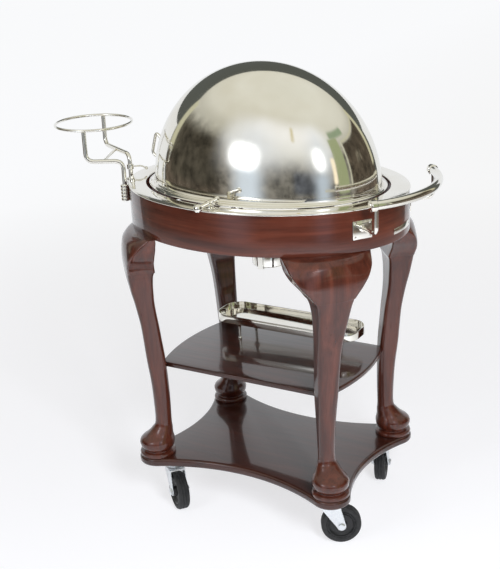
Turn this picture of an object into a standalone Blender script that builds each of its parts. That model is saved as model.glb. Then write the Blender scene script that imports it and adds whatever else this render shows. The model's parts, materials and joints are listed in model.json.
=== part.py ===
# Carving trolley: an oval mahogany stand on four cabriole legs with castors,
# a silver plated dome that rolls under its top, a plate holder and a push handle.
# Metres, +Z up, +X towards the push handle, -Y towards the front.
from math import asin, atan2, copysign, cos, hypot, pi, radians, sin, sqrt

import bmesh
import bpy
from mathutils import Matrix, Quaternion, Vector

# Shared clearances and facets
SEAT_GAP = 0.0003
RUN_GAP = 0.0003
OVERRUN = 0.002
WELD = 0.00001
OVAL_STEPS = 56
ROUND_STEPS = 24
SMALL_STEPS = 12

# Oval top: wooden hoop and silver rim plate
TOP_HALF_LENGTH = 0.365
TOP_HALF_WIDTH = 0.2785
HOOP_WALL = 0.022
HOOP_HEIGHT = 0.099
HOOP_BOTTOM = 0.769
HOOP_ARRIS = 0.002
RIM_THICKNESS = 0.004
RIM_OVERHANG = 0.002
RIM_LAND_ENDS = 0.0465
RIM_LAND_SIDES = 0.0365

# Dome
DOME_RISE = 0.295
DOME_WALL = 0.0016
DOME_FOOT_RISE = 0.006
FLANGE_GAP_ENDS = 0.0075
FLANGE_GAP_SIDES = 0.010
FLANGE_WIDTH_ENDS = 0.010
FLANGE_WIDTH_SIDES = 0.032
FLANGE_DROP = 0.001
DOME_STEPS = 48

# Trunnions that the dome turns on
AXIS_ABOVE_RIM = 0.0135
SHAFT_RADIUS = 0.005
SHAFT_OVERHANG = 0.024
KNOB_RADIUS = 0.0105
HUB_RADIUS = 0.0090
HUB_DEPTH = 0.008
HUB_STAND = 0.006
BEARING_LENGTH = 0.036
BEARING_DEPTH = 0.020
BEARING_BASE_HEIGHT = 0.003
BEARING_BOSS_RADIUS = 0.0095
BEARING_STEM = 0.014

# Dome handle, in the plane of the long axis
GRIP_RADIUS = 0.004
GRIP_LOW_FOOT_RISE = 0.023
GRIP_HIGH_FOOT_RISE = 0.070
GRIP_LOW_STANDOFF = 0.037
GRIP_HIGH_STANDOFF = 0.028
GRIP_LOW_LIFT = 0.020
GRIP_HIGH_LIFT = 0.030
GRIP_BEND = 0.010

# Pan frame, water pan, cover, board and gravy pots under the dome
FRAME_GAP_ENDS = 0.039
FRAME_GAP_SIDES = 0.040
FRAME_BAND = 0.006
FRAME_HEIGHT = 0.014
LUG_WIDTH = 0.020
LUG_REACH = 0.012
PAN_CLEARANCE = 0.001
PAN_DEPTH = 0.060
PAN_WALL = 0.0012
PAN_TAPER = 0.012
COVER_THICKNESS = 0.002
POT_RADIUS = 0.045
POT_DEPTH = 0.055
POT_LIP = 0.005
POT_WALL = 0.0014
POT_SPREAD = 0.056
POT_FROM_END = 0.112
LID_RISE = 0.012
LID_KNOB_RADIUS = 0.007
LID_KNOB_HEIGHT = 0.016
BOARD_FROM_END = 0.044
BOARD_TO_POTS = 0.018
BOARD_FROM_SIDES = 0.042
BOARD_THICKNESS = 0.015

# Burner and the strap that it hangs in
BURNER_BELOW_HOOP = 0.1115
BURNER_RADIUS = 0.042
BURNER_HEIGHT = 0.040
BURNER_NECK_RADIUS = 0.017
BURNER_NECK_HEIGHT = 0.009
BURNER_BORE = 0.010
STRAP_WIDTH = 0.014
STRAP_THICKNESS = 0.0025
STRAP_SHOULDER = 0.016
STRAP_SLOPE_DROP = 0.100
CAP_RADIUS = 0.019
CAP_THICKNESS = 0.004
CAP_PIN_RADIUS = 0.002
CAP_ARM_WIDTH = 0.008

# Legs: feet on the lower board, knees under the hoop
FOOT_FROM_END = 0.1098
FOOT_FROM_SIDE = 0.0922
DISC_RADIUS = 0.0465
DISC_HEIGHT = 0.0050
DISC_NECK_RADIUS = 0.0400
DISC_NECK_HEIGHT = 0.0030
PAD_RADIUS = 0.0462
PAD_HEIGHT = 0.082
ANKLE_RADIUS = 0.0215
ANKLE_SET_BACK = 0.0200
KNEE_HALF_DEPTH = 0.0425
KNEE_HALF_WIDTH = 0.1065
KNEE_CENTRE = 0.0145
LEG_STEPS = 20

# Lower board and middle shelf
BOARD_TOP = 0.155
LOWER_BOARD_THICKNESS = 0.022
LOWER_BOARD_END_BEYOND_FOOT = 0.0068
LOWER_BOARD_SIDE_SHORT_OF_FOOT = 0.0143
LOWER_BOARD_EAR_BORDER = 0.002
LOWER_BOARD_EDGE = 0.007
SHELF_TOP = 0.409
SHELF_THICKNESS = 0.013
SHELF_BEYOND_FOOT = 0.0083
SHELF_SHORT_OF_FOOT = 0.0223
SHELF_END_BOW = 0.0215
SHELF_EDGE = 0.003
SHELF_CORNER_CUT = 0.016

# Bottle gallery on the shelf
GALLERY_FROM_ENDS = 0.0565
GALLERY_HALF_DEPTH = 0.057
GALLERY_FROM_BACK = 0.010
GALLERY_CORNER = 0.045
GALLERY_HEIGHT = 0.022
GALLERY_WALL = 0.0020
GALLERY_BASE = 0.0020
POST_HEIGHT = 0.045
POST_RADIUS = 0.004
POST_FOOT_RADIUS = 0.008
POST_FOOT_HEIGHT = 0.004
POST_INSET = 0.076
POST_EDGE = 0.014

# Plate holder, turned about the oval's centre from the -X end
HOLDER_OVAL_ANGLE = radians(197.5)
HOLDER_SOCKET_SPREAD = 0.036
SOCKET_RADIUS = 0.0115
SOCKET_HEIGHT = 0.042
SOCKET_BELOW_RIM = 0.052
SOCKET_FLOOR = 0.003
SOCKET_RIBS = 5
SOCKET_RIB_SHARES = [(0.0, 0.9), (0.25, 1.0), (0.75, 1.0)]
HOLDER_TUBE_RADIUS = 0.0058
HOLDER_RUN_RISE = 0.050
HOLDER_REACH = 0.091
HOLDER_SHIFT = -0.056
HOLDER_BEND = 0.022
RING_RISE = 0.079
RING_RADIUS = 0.0985
RING_WIRE = 0.0034
CROSSBAR_SHARE = 0.54
CROSSBAR_RADIUS = 0.0038
CATCH_RISE = 0.018
CATCH_LENGTH = 0.042
CATCH_WIRE = 0.0020
CATCH_CLAMP_WALL = 0.003
CATCH_CLAMP_HEIGHT = 0.012
CATCH_BALL = 0.0042

# Push handle, its brackets and the bare plate between them
HANDLE_RISE = 0.021
HANDLE_STAND_OFF = 0.009
HANDLE_HALF_SPAN = 0.166
HANDLE_BOW = 0.061
HANDLE_TUBE_RADIUS = 0.0108
HANDLE_CAP_RADIUS = 0.0130
HANDLE_CAP_LENGTH = 0.008
BRACKET_OVAL_ANGLE = radians(-28.0)
BRACKET_WIDTH = 0.050
BRACKET_HEIGHT = 0.044
BRACKET_THICKNESS = 0.003
BRACKET_BELOW_RIM = 0.050
STRUT_RADIUS = 0.0048
STRUT_BEND = 0.018
STRUT_LIFT = 0.004
END_PLATE_HALF_WIDTH = 0.042
END_PLATE_HEIGHT = 0.014
END_PLATE_BELOW_RIM = 0.077
END_PLATE_THICKNESS = 0.0015

# Castors
CASTOR_FROM_FOOT_X = 0.0272
CASTOR_FROM_FOOT_Y = 0.0263
WHEEL_RADIUS = 0.0508
WHEEL_WIDTH = 0.030
TYRE_DEPTH = 0.0150
TYRE_SHOULDER = 0.006
HUB_WIDTH = 0.036
HUB_BOSS_RADIUS = 0.013
HUB_WEB = 0.018
AXLE_RADIUS = 0.006
AXLE_HEAD_RADIUS = 0.0095
AXLE_HEAD = 0.005
AXLE_BORE_GAP = 0.0004
TRAIL = 0.036
FORK_THICKNESS = 0.003
FORK_EYE = 0.0115
FORK_FRONT = 0.033
FORK_BACK = 0.019
FORK_HEAD_RADIUS = 0.020
FORK_HEAD_HEIGHT = 0.007
WHEEL_TO_CROWN = 0.0055
SWIVEL_RACE_RADIUS = 0.023
CASTOR_PLATE_WIDTH = 0.060
CASTOR_PLATE_THICKNESS = 0.003
CORNERS = {"back_left": (-1, 1, 150.0), "back_right": (1, 1, 108.0),
           "front_left": (-1, -1, -38.0), "front_right": (1, -1, 31.0)}

# Plan sizes that follow from the oval top and the clearances above
OPENING_HALF_LENGTH = TOP_HALF_LENGTH - RIM_LAND_ENDS
OPENING_HALF_WIDTH = TOP_HALF_WIDTH - RIM_LAND_SIDES
FLANGE_HALF_LENGTH = OPENING_HALF_LENGTH - FLANGE_GAP_ENDS
FLANGE_HALF_WIDTH = OPENING_HALF_WIDTH - FLANGE_GAP_SIDES
DOME_HALF_LENGTH = FLANGE_HALF_LENGTH - FLANGE_WIDTH_ENDS
DOME_HALF_WIDTH = FLANGE_HALF_WIDTH - FLANGE_WIDTH_SIDES
FRAME_HALF_LENGTH = DOME_HALF_LENGTH - FRAME_GAP_ENDS
FRAME_HALF_WIDTH = DOME_HALF_WIDTH - FRAME_GAP_SIDES
POT_OFFSET = FRAME_HALF_LENGTH - POT_FROM_END
BOARD_LOW_END = BOARD_FROM_END - FRAME_HALF_LENGTH
BOARD_HIGH_END = POT_OFFSET - POT_RADIUS - POT_LIP - BOARD_TO_POTS
BOARD_CENTRE = (BOARD_LOW_END + BOARD_HIGH_END) / 2
BOARD_HALF_LENGTH = (BOARD_HIGH_END - BOARD_LOW_END) / 2
BOARD_HALF_WIDTH = FRAME_HALF_WIDTH - BOARD_FROM_SIDES
SHAFT_REACH = TOP_HALF_WIDTH + SHAFT_OVERHANG
FOOT_X = TOP_HALF_LENGTH - FOOT_FROM_END
FOOT_Y = TOP_HALF_WIDTH - FOOT_FROM_SIDE
LOWER_BOARD_HALF_LENGTH = FOOT_X + LOWER_BOARD_END_BEYOND_FOOT
LOWER_BOARD_HALF_WIDTH = FOOT_Y - LOWER_BOARD_SIDE_SHORT_OF_FOOT
LOWER_BOARD_EAR = DISC_RADIUS + LOWER_BOARD_EAR_BORDER
SHELF_HALF_LENGTH = FOOT_X + SHELF_BEYOND_FOOT
SHELF_HALF_WIDTH = FOOT_Y - SHELF_SHORT_OF_FOOT
GALLERY_HALF_LENGTH = SHELF_HALF_LENGTH - GALLERY_FROM_ENDS
GALLERY_CENTRE_Y = SHELF_HALF_WIDTH - GALLERY_FROM_BACK - GALLERY_HALF_DEPTH
HANDLE_END_X = TOP_HALF_LENGTH + HANDLE_STAND_OFF
HANDLE_TIP = HANDLE_END_X + HANDLE_BOW
CASTOR_X = FOOT_X - CASTOR_FROM_FOOT_X
CASTOR_Y = FOOT_Y - CASTOR_FROM_FOOT_Y

# Heights that follow from the sizes above
RIM_TOP = HOOP_BOTTOM + HOOP_HEIGHT + RIM_THICKNESS
BURNER_BOTTOM = HOOP_BOTTOM - BURNER_BELOW_HOOP
SOCKET_BOTTOM = RIM_TOP - SOCKET_BELOW_RIM
HOLDER_RUN_HEIGHT = RIM_TOP + HOLDER_RUN_RISE
RING_HEIGHT = HOLDER_RUN_HEIGHT + RING_RISE
CATCH_HEIGHT = RIM_TOP + CATCH_RISE
HANDLE_HEIGHT = RIM_TOP + HANDLE_RISE
BRACKET_CENTRE = RIM_TOP - BRACKET_BELOW_RIM
END_PLATE_CENTRE = RIM_TOP - END_PLATE_BELOW_RIM
AXIS_HEIGHT = RIM_TOP + AXIS_ABOVE_RIM
AXLE_HEIGHT = WHEEL_RADIUS * cos(pi / ROUND_STEPS)
BOARD_BOTTOM = BOARD_TOP - LOWER_BOARD_THICKNESS
FRAME_TOP = AXIS_HEIGHT + FRAME_HEIGHT / 2
PAN_TOP = FRAME_TOP + SEAT_GAP + PAN_WALL
COVER_TOP = PAN_TOP + SEAT_GAP + COVER_THICKNESS
LEG_BOTTOM = BOARD_TOP + SEAT_GAP
LEG_TOP = HOOP_BOTTOM - SEAT_GAP

parts = bpy.data.collections.new("carving_trolley")
cutters = bpy.data.collections.new("cutters")


def clear_scene():
    """Remove every object that the file starts with."""
    for old in list(bpy.data.objects):
        bpy.data.objects.remove(old, do_unlink=True)
    for group in (parts, cutters):
        bpy.context.scene.collection.children.link(group)


def make_material(name, colour, metallic, roughness):
    """A plain Principled material."""
    made = bpy.data.materials.new(name)
    made.use_nodes = True
    shader = made.node_tree.nodes["Principled BSDF"]
    shader.inputs["Base Color"].default_value = (*colour, 1.0)
    shader.inputs["Metallic"].default_value = metallic
    shader.inputs["Roughness"].default_value = roughness
    return made


mahogany = make_material("mahogany", (0.075, 0.018, 0.010), 0.0, 0.22)
silver = make_material("silver_plate", (0.88, 0.87, 0.83), 1.0, 0.08)
zinc = make_material("zinc_plate", (0.78, 0.80, 0.82), 1.0, 0.35)
rubber = make_material("black_rubber", (0.018, 0.018, 0.019), 0.0, 0.65)
iron = make_material("black_iron", (0.05, 0.05, 0.052), 0.6, 0.5)
maple = make_material("board_wood", (0.55, 0.36, 0.18), 0.0, 0.5)


def add_object(name, data, material, where=(0.0, 0.0, 0.0), turn=0.0):
    """Put mesh or curve data in the parts collection under its node's name."""
    made = bpy.data.objects.new(name, data)
    made.location = where
    made.rotation_euler = (0.0, 0.0, turn)
    data.materials.append(material)
    parts.objects.link(made)
    made.parent = centre
    return made


def finish_mesh(name, bm, material, where=(0.0, 0.0, 0.0), turn=0.0, smooth=35.0):
    """Turn a bmesh into an object, smooth up to the given edge angle."""
    data = bpy.data.meshes.new(name)
    bm.to_mesh(data)
    bm.free()
    data.shade_smooth()
    data.set_sharp_from_angle(angle=radians(smooth))
    return add_object(name, data, material, where, turn)


def oval(half_length, half_width, count=OVAL_STEPS):
    """Points round an oval, anticlockwise from +X."""
    angles = [2 * pi * step / count for step in range(count)]
    return [(half_length * cos(a), half_width * sin(a)) for a in angles]


def oval_frame(angle, offset):
    """Point outside the hoop at an oval angle, with its outward and sideways directions."""
    spot = Vector((TOP_HALF_LENGTH * cos(angle), TOP_HALF_WIDTH * sin(angle), 0.0))
    out = Vector((cos(angle) / TOP_HALF_LENGTH, sin(angle) / TOP_HALF_WIDTH, 0.0)).normalized()
    return spot + out * offset, out, Vector((-out.y, out.x, 0.0))


def arc(centre_point, radius, start, end, count):
    """Points along an arc in plan, both ends included."""
    angles = [start + (end - start) * step / count for step in range(count + 1)]
    return [(centre_point[0] + radius * cos(a), centre_point[1] + radius * sin(a)) for a in angles]


def flat_curve(name, outlines, bottom, thickness, material, where=(0.0, 0.0), turn=0.0):
    """A flat piece with the first outline as its edge and the others as its holes."""
    data = bpy.data.curves.new(name, "CURVE")
    data.dimensions = "2D"
    data.fill_mode = "BOTH"
    data.extrude = thickness / 2
    for outline in outlines:
        spline = data.splines.new("POLY")
        spline.points.add(len(outline) - 1)
        for point, (x, y) in zip(spline.points, outline):
            point.co = (x, y, 0.0, 1.0)
        spline.use_cyclic_u = True
    return add_object(name, data, material, (where[0], where[1], bottom + thickness / 2), turn)


def slab(name, outline, bottom, thickness, edge, material, segments=2, where=(0.0, 0.0), turn=0.0):
    """A board with its top and bottom edges rounded."""
    bm = bmesh.new()
    floor = bm.faces.new([bm.verts.new((x, y, bottom)) for x, y in outline])
    grown = bmesh.ops.extrude_face_region(bm, geom=[floor])
    lifted = [item for item in grown["geom"] if isinstance(item, bmesh.types.BMVert)]
    bmesh.ops.translate(bm, verts=lifted, vec=(0.0, 0.0, thickness))
    bmesh.ops.recalc_face_normals(bm, faces=bm.faces)
    if edge:
        flat = [e for e in bm.edges if abs(e.verts[0].co.z - e.verts[1].co.z) < edge]
        bmesh.ops.bevel(bm, geom=flat, offset=edge, segments=segments, affect="EDGES",
                        profile=0.5, clamp_overlap=True, material=-1)
    return finish_mesh(name, bm, material, (where[0], where[1], 0.0), turn)


def turned(name, profile, material, where=(0.0, 0.0, 0.0), lay=None, steps=ROUND_STEPS, ring=False):
    """A turned piece: a profile of (radius, height) run down its outer side and screwed round."""
    data = bpy.data.meshes.new(name)
    count = len(profile)
    edges = [(step, step + 1) for step in range(count - 1)]
    if ring:
        edges.append((count - 1, 0))
    data.from_pydata([(radius, 0.0, height) for radius, height in profile], edges, [])
    made = add_object(name, data, material, where)
    if lay:
        made.rotation_mode = "QUATERNION"
        made.rotation_quaternion = Vector((0.0, 0.0, 1.0)).rotation_difference(Vector(lay))
    screw = made.modifiers.new("Turn", "SCREW")
    screw.steps = steps
    screw.render_steps = steps
    screw.use_merge_vertices = True
    screw.merge_threshold = WELD
    return made


def rounded_path(corners, bend, count=5):
    """A path through corners with each inner corner turned on an arc."""
    points = [Vector(corners[0])]
    for before, here, after in zip(corners, corners[1:], corners[2:]):
        back = (Vector(before) - Vector(here)).normalized()
        ahead = (Vector(after) - Vector(here)).normalized()
        for step in range(count + 1):
            share = step / count
            start = Vector(here) + back * bend
            stop = Vector(here) + ahead * bend
            inner = start.lerp(Vector(here), share)
            points.append(inner.lerp(Vector(here).lerp(stop, share), share))
    points.append(Vector(corners[-1]))
    return points


def tube(name, points, radius, material, closed=False, resolution=2):
    """A round bar or tube along a path, with filled ends."""
    data = bpy.data.curves.new(name, "CURVE")
    data.dimensions = "3D"
    data.bevel_depth = radius
    data.bevel_resolution = resolution
    data.use_fill_caps = not closed
    spline = data.splines.new("POLY")
    spline.points.add(len(points) - 1)
    for point, place in zip(spline.points, points):
        point.co = (*place, 1.0)
    spline.use_cyclic_u = closed
    return add_object(name, data, material)


def pivot(name, where, pieces):
    """An empty on a joint's axis that carries the pieces that move with it."""
    bpy.context.view_layer.update()
    axis = bpy.data.objects.new(name, None)
    axis.parent = centre
    axis.location = where
    parts.objects.link(axis)
    bpy.context.view_layer.update()
    for piece in pieces:
        place = piece.matrix_world.copy()
        piece.parent = axis
        piece.matrix_world = place


def as_mesh(made):
    """Replace a curve or a modified object by its evaluated mesh, welded."""
    bpy.context.view_layer.update()
    solved = made.evaluated_get(bpy.context.evaluated_depsgraph_get())
    data = bpy.data.meshes.new_from_object(solved)
    bm = bmesh.new()
    bm.from_mesh(data)
    bmesh.ops.remove_doubles(bm, verts=bm.verts, dist=WELD)
    bm.to_mesh(data)
    bm.free()
    name = made.name
    place = made.matrix_world.copy()
    bpy.data.objects.remove(made, do_unlink=True)
    fresh = bpy.data.objects.new(name, data)
    parts.objects.link(fresh)
    fresh.parent = centre
    fresh.matrix_world = place
    return fresh


def combine(body, tool, operation):
    """Cut or join one object with another, which becomes a cutter."""
    change = body.modifiers.new(operation.title(), "BOOLEAN")
    change.operation = operation
    change.solver = "EXACT"
    change.object = tool
    parts.objects.unlink(tool)
    cutters.objects.link(tool)
    tool.hide_render = True
    tool.display_type = "WIRE"


def rod(name, start, end, radius, material, steps=SMALL_STEPS):
    """A plain cylinder from one point to another."""
    along = Vector(end) - Vector(start)
    bm = bmesh.new()
    bmesh.ops.create_cone(bm, cap_ends=True, segments=steps, radius1=radius, radius2=radius,
                          depth=along.length)
    spin = Vector((0.0, 0.0, 1.0)).rotation_difference(along).to_matrix().to_4x4()
    place = Matrix.Translation((Vector(start) + Vector(end)) / 2)
    bmesh.ops.transform(bm, matrix=place @ spin, verts=bm.verts)
    return finish_mesh(name, bm, material)


def box(name, low, high, material, where=(0.0, 0.0, 0.0), turn=0.0):
    """A block between two corners, in its own turned frame."""
    bm = bmesh.new()
    bmesh.ops.create_cube(bm, size=1.0)
    size = [b - a for a, b in zip(low, high)]
    middle = [(a + b) / 2 for a, b in zip(low, high)]
    bmesh.ops.scale(bm, vec=size, verts=bm.verts)
    bmesh.ops.translate(bm, vec=middle, verts=bm.verts)
    return finish_mesh(name, bm, material, where, turn)


def oval_shell(name, rings, wall, material, count=OVAL_STEPS):
    """A pressed pan: a skin through oval rings, closed at the last one, with a wall inwards."""
    bm = bmesh.new()
    made = bmesh.ops.create_circle(bm, cap_ends=False, segments=count, radius=1.0)
    edge = list({e for v in made["verts"] for e in v.link_edges})
    bmesh.ops.scale(bm, vec=(rings[0][0], rings[0][1], 1.0), verts=made["verts"])
    bmesh.ops.translate(bm, vec=(0.0, 0.0, rings[0][2]), verts=made["verts"])
    for before, here in zip(rings, rings[1:]):
        grown = bmesh.ops.extrude_edge_only(bm, edges=edge)
        verts = [item for item in grown["geom"] if isinstance(item, bmesh.types.BMVert)]
        edge = [item for item in grown["geom"] if isinstance(item, bmesh.types.BMEdge)]
        bmesh.ops.scale(bm, vec=(here[0] / before[0], here[1] / before[1], 1.0), verts=verts)
        bmesh.ops.translate(bm, vec=(0.0, 0.0, here[2] - before[2]), verts=verts)
    bmesh.ops.edgeloop_fill(bm, edges=edge)
    bmesh.ops.recalc_face_normals(bm, faces=bm.faces)
    if bm.faces[-1].normal.z > 0:
        bmesh.ops.reverse_faces(bm, faces=bm.faces)
    shell = finish_mesh(name, bm, material)
    thick = shell.modifiers.new("Wall", "SOLIDIFY")
    thick.thickness = wall
    thick.offset = -1.0
    thick.use_even_offset = True
    return shell


def make_top():
    """Wooden hoop and the silver plate that covers its top edge."""
    inner_length = TOP_HALF_LENGTH - HOOP_WALL
    inner_width = TOP_HALF_WIDTH - HOOP_WALL
    bm = bmesh.new()
    outline = oval(TOP_HALF_LENGTH, TOP_HALF_WIDTH)
    inline = oval(inner_length, inner_width)
    outer = [bm.verts.new((x, y, HOOP_BOTTOM)) for x, y in outline]
    inner = [bm.verts.new((x, y, HOOP_BOTTOM)) for x, y in inline]
    loops = [bm.edges.new((ring[i - 1], ring[i])) for ring in (outer, inner) for i in range(OVAL_STEPS)]
    bmesh.ops.bridge_loops(bm, edges=loops)
    grown = bmesh.ops.extrude_face_region(bm, geom=bm.faces[:])
    lifted = [item for item in grown["geom"] if isinstance(item, bmesh.types.BMVert)]
    bmesh.ops.translate(bm, verts=lifted, vec=(0.0, 0.0, HOOP_HEIGHT - SEAT_GAP))
    bmesh.ops.recalc_face_normals(bm, faces=bm.faces)
    outside = {v for v in bm.verts
               if hypot(v.co.x / TOP_HALF_LENGTH, v.co.y / TOP_HALF_WIDTH) > 1 - HOOP_ARRIS}
    rims = [e for e in bm.edges if set(e.verts) <= outside
            and abs(e.verts[0].co.z - e.verts[1].co.z) < HOOP_ARRIS]
    bmesh.ops.bevel(bm, geom=rims, offset=HOOP_ARRIS, segments=1, affect="EDGES", profile=0.5,
                    clamp_overlap=True, material=-1)
    finish_mesh("apron_hoop", bm, mahogany)
    flat_curve("rim_plate",
               [oval(TOP_HALF_LENGTH + RIM_OVERHANG, TOP_HALF_WIDTH + RIM_OVERHANG),
                oval(OPENING_HALF_LENGTH, OPENING_HALF_WIDTH)],
               RIM_TOP - RIM_THICKNESS, RIM_THICKNESS, silver)


def dome_point(rise):
    """Half length of the dome at a height above the rim plate."""
    return DOME_HALF_LENGTH * sqrt(1 - (rise / DOME_RISE) ** 2)


def make_dome():
    """Dome shell with its flange, hubs and grip."""
    bm = bmesh.new()
    bmesh.ops.create_uvsphere(bm, u_segments=DOME_STEPS, v_segments=DOME_STEPS // 2, radius=1.0)
    bmesh.ops.scale(bm, vec=(DOME_HALF_LENGTH, DOME_HALF_WIDTH, DOME_RISE), verts=bm.verts)
    bmesh.ops.bisect_plane(bm, geom=bm.verts[:] + bm.edges[:] + bm.faces[:], dist=WELD,
                           plane_co=(0.0, 0.0, DOME_FOOT_RISE), plane_no=(0.0, 0.0, 1.0), clear_inner=True)
    foot_share = dome_point(DOME_FOOT_RISE) / DOME_HALF_LENGTH
    foot = (DOME_HALF_LENGTH * foot_share, DOME_HALF_WIDTH * foot_share)
    cove = DOME_FOOT_RISE - FLANGE_DROP
    rings = [(foot[0] + cove / 2, foot[1] + cove, -FLANGE_DROP + DOME_WALL),
             (FLANGE_HALF_LENGTH, FLANGE_HALF_WIDTH, -FLANGE_DROP)]
    edge = [e for e in bm.edges if e.is_boundary]
    before = (*foot, DOME_FOOT_RISE)
    for here in rings:
        grown = bmesh.ops.extrude_edge_only(bm, edges=edge)
        verts = [item for item in grown["geom"] if isinstance(item, bmesh.types.BMVert)]
        edge = [item for item in grown["geom"] if isinstance(item, bmesh.types.BMEdge)]
        bmesh.ops.scale(bm, vec=(here[0] / before[0], here[1] / before[1], 1.0), verts=verts)
        bmesh.ops.translate(bm, vec=(0.0, 0.0, here[2] - before[2]), verts=verts)
        before = here
    bmesh.ops.recalc_face_normals(bm, faces=bm.faces)
    top = max(bm.faces, key=lambda f: f.calc_center_median().z)
    if top.normal.z < 0:
        bmesh.ops.reverse_faces(bm, faces=bm.faces)
    shell = finish_mesh("dome_shell", bm, silver, (0.0, 0.0, RIM_TOP))
    thick = shell.modifiers.new("Wall", "SOLIDIFY")
    thick.thickness = DOME_WALL
    thick.offset = -1.0
    wall = DOME_HALF_WIDTH * sqrt(1 - ((AXIS_HEIGHT - RIM_TOP) / DOME_RISE) ** 2)
    for side, name in ((-1, "front"), (1, "back")):
        inside = side * (wall - HUB_DEPTH)
        outside = side * (wall + HUB_STAND)
        hub = rod("hub_" + name, (0.0, inside, AXIS_HEIGHT), (0.0, outside, AXIS_HEIGHT), HUB_RADIUS,
                  silver)
        hole = rod("hub_bore_" + name, (0.0, inside - side * OVERRUN, AXIS_HEIGHT),
                   (0.0, outside + side * OVERRUN, AXIS_HEIGHT), SHAFT_RADIUS + RUN_GAP, silver)
        combine(shell, hub, "UNION")
        combine(shell, hole, "DIFFERENCE")
    low = -dome_point(GRIP_LOW_FOOT_RISE)
    high = -dome_point(GRIP_HIGH_FOOT_RISE)
    corners = [(low - SEAT_GAP, GRIP_LOW_FOOT_RISE),
               (low - GRIP_LOW_STANDOFF, GRIP_LOW_FOOT_RISE + GRIP_LOW_LIFT),
               (high - GRIP_HIGH_STANDOFF, GRIP_HIGH_FOOT_RISE + GRIP_HIGH_LIFT),
               (high - SEAT_GAP, GRIP_HIGH_FOOT_RISE)]
    path = rounded_path([(x, 0.0, RIM_TOP + rise) for x, rise in corners], GRIP_BEND, 3)
    grip = as_mesh(tube("dome_handle", path, GRIP_RADIUS, silver))
    bm = bmesh.new()
    bmesh.ops.create_uvsphere(bm, u_segments=DOME_STEPS, v_segments=DOME_STEPS // 2, radius=1.0)
    bmesh.ops.scale(bm, vec=(DOME_HALF_LENGTH + SEAT_GAP, DOME_HALF_WIDTH + SEAT_GAP,
                             DOME_RISE + SEAT_GAP), verts=bm.verts)
    combine(grip, finish_mesh("grip_trim", bm, silver, (0.0, 0.0, RIM_TOP)), "DIFFERENCE")
    pivot("dome_axis", (0.0, 0.0, AXIS_HEIGHT), [shell, grip])


def make_trunnions():
    """Fixed shafts over the rim plate, with their bearing blocks and knobs."""
    block_mid = (OPENING_HALF_WIDTH + TOP_HALF_WIDTH) / 2
    for side, name in ((-1, "front"), (1, "back")):
        inner = FRAME_HALF_WIDTH - FRAME_BAND + SEAT_GAP
        neck = SHAFT_REACH
        knob = [(0.0, neck + KNOB_RADIUS * 1.8), (KNOB_RADIUS * 0.6, neck + KNOB_RADIUS * 1.7),
                (KNOB_RADIUS, neck + KNOB_RADIUS * 1.1), (KNOB_RADIUS, neck + KNOB_RADIUS * 0.7),
                (KNOB_RADIUS * 0.6, neck + KNOB_RADIUS * 0.1), (SHAFT_RADIUS, neck),
                (SHAFT_RADIUS, inner), (0.0, inner)]
        turned("trunnion_shaft_" + name, knob, silver, (0.0, 0.0, AXIS_HEIGHT), (0.0, side, 0.0),
               SMALL_STEPS)
        near = side * (block_mid - BEARING_DEPTH / 2)
        far = side * (block_mid + BEARING_DEPTH / 2)
        low, high = min(near, far), max(near, far)
        foot = RIM_TOP + SEAT_GAP
        bearing = box("trunnion_bearing_" + name, (-BEARING_LENGTH / 2, low, foot),
                      (BEARING_LENGTH / 2, high, foot + BEARING_BASE_HEIGHT), silver)
        stem = box("stem_" + name, (-BEARING_STEM / 2, low, foot + BEARING_BASE_HEIGHT / 2),
                   (BEARING_STEM / 2, high, AXIS_HEIGHT), silver)
        boss = rod("boss_" + name, (0.0, low, AXIS_HEIGHT), (0.0, high, AXIS_HEIGHT), BEARING_BOSS_RADIUS,
                   silver)
        hole = rod("bore_" + name, (0.0, low - OVERRUN, AXIS_HEIGHT), (0.0, high + OVERRUN, AXIS_HEIGHT),
                   SHAFT_RADIUS + SEAT_GAP, silver)
        combine(bearing, stem, "UNION")
        combine(bearing, boss, "UNION")
        combine(bearing, hole, "DIFFERENCE")


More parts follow.
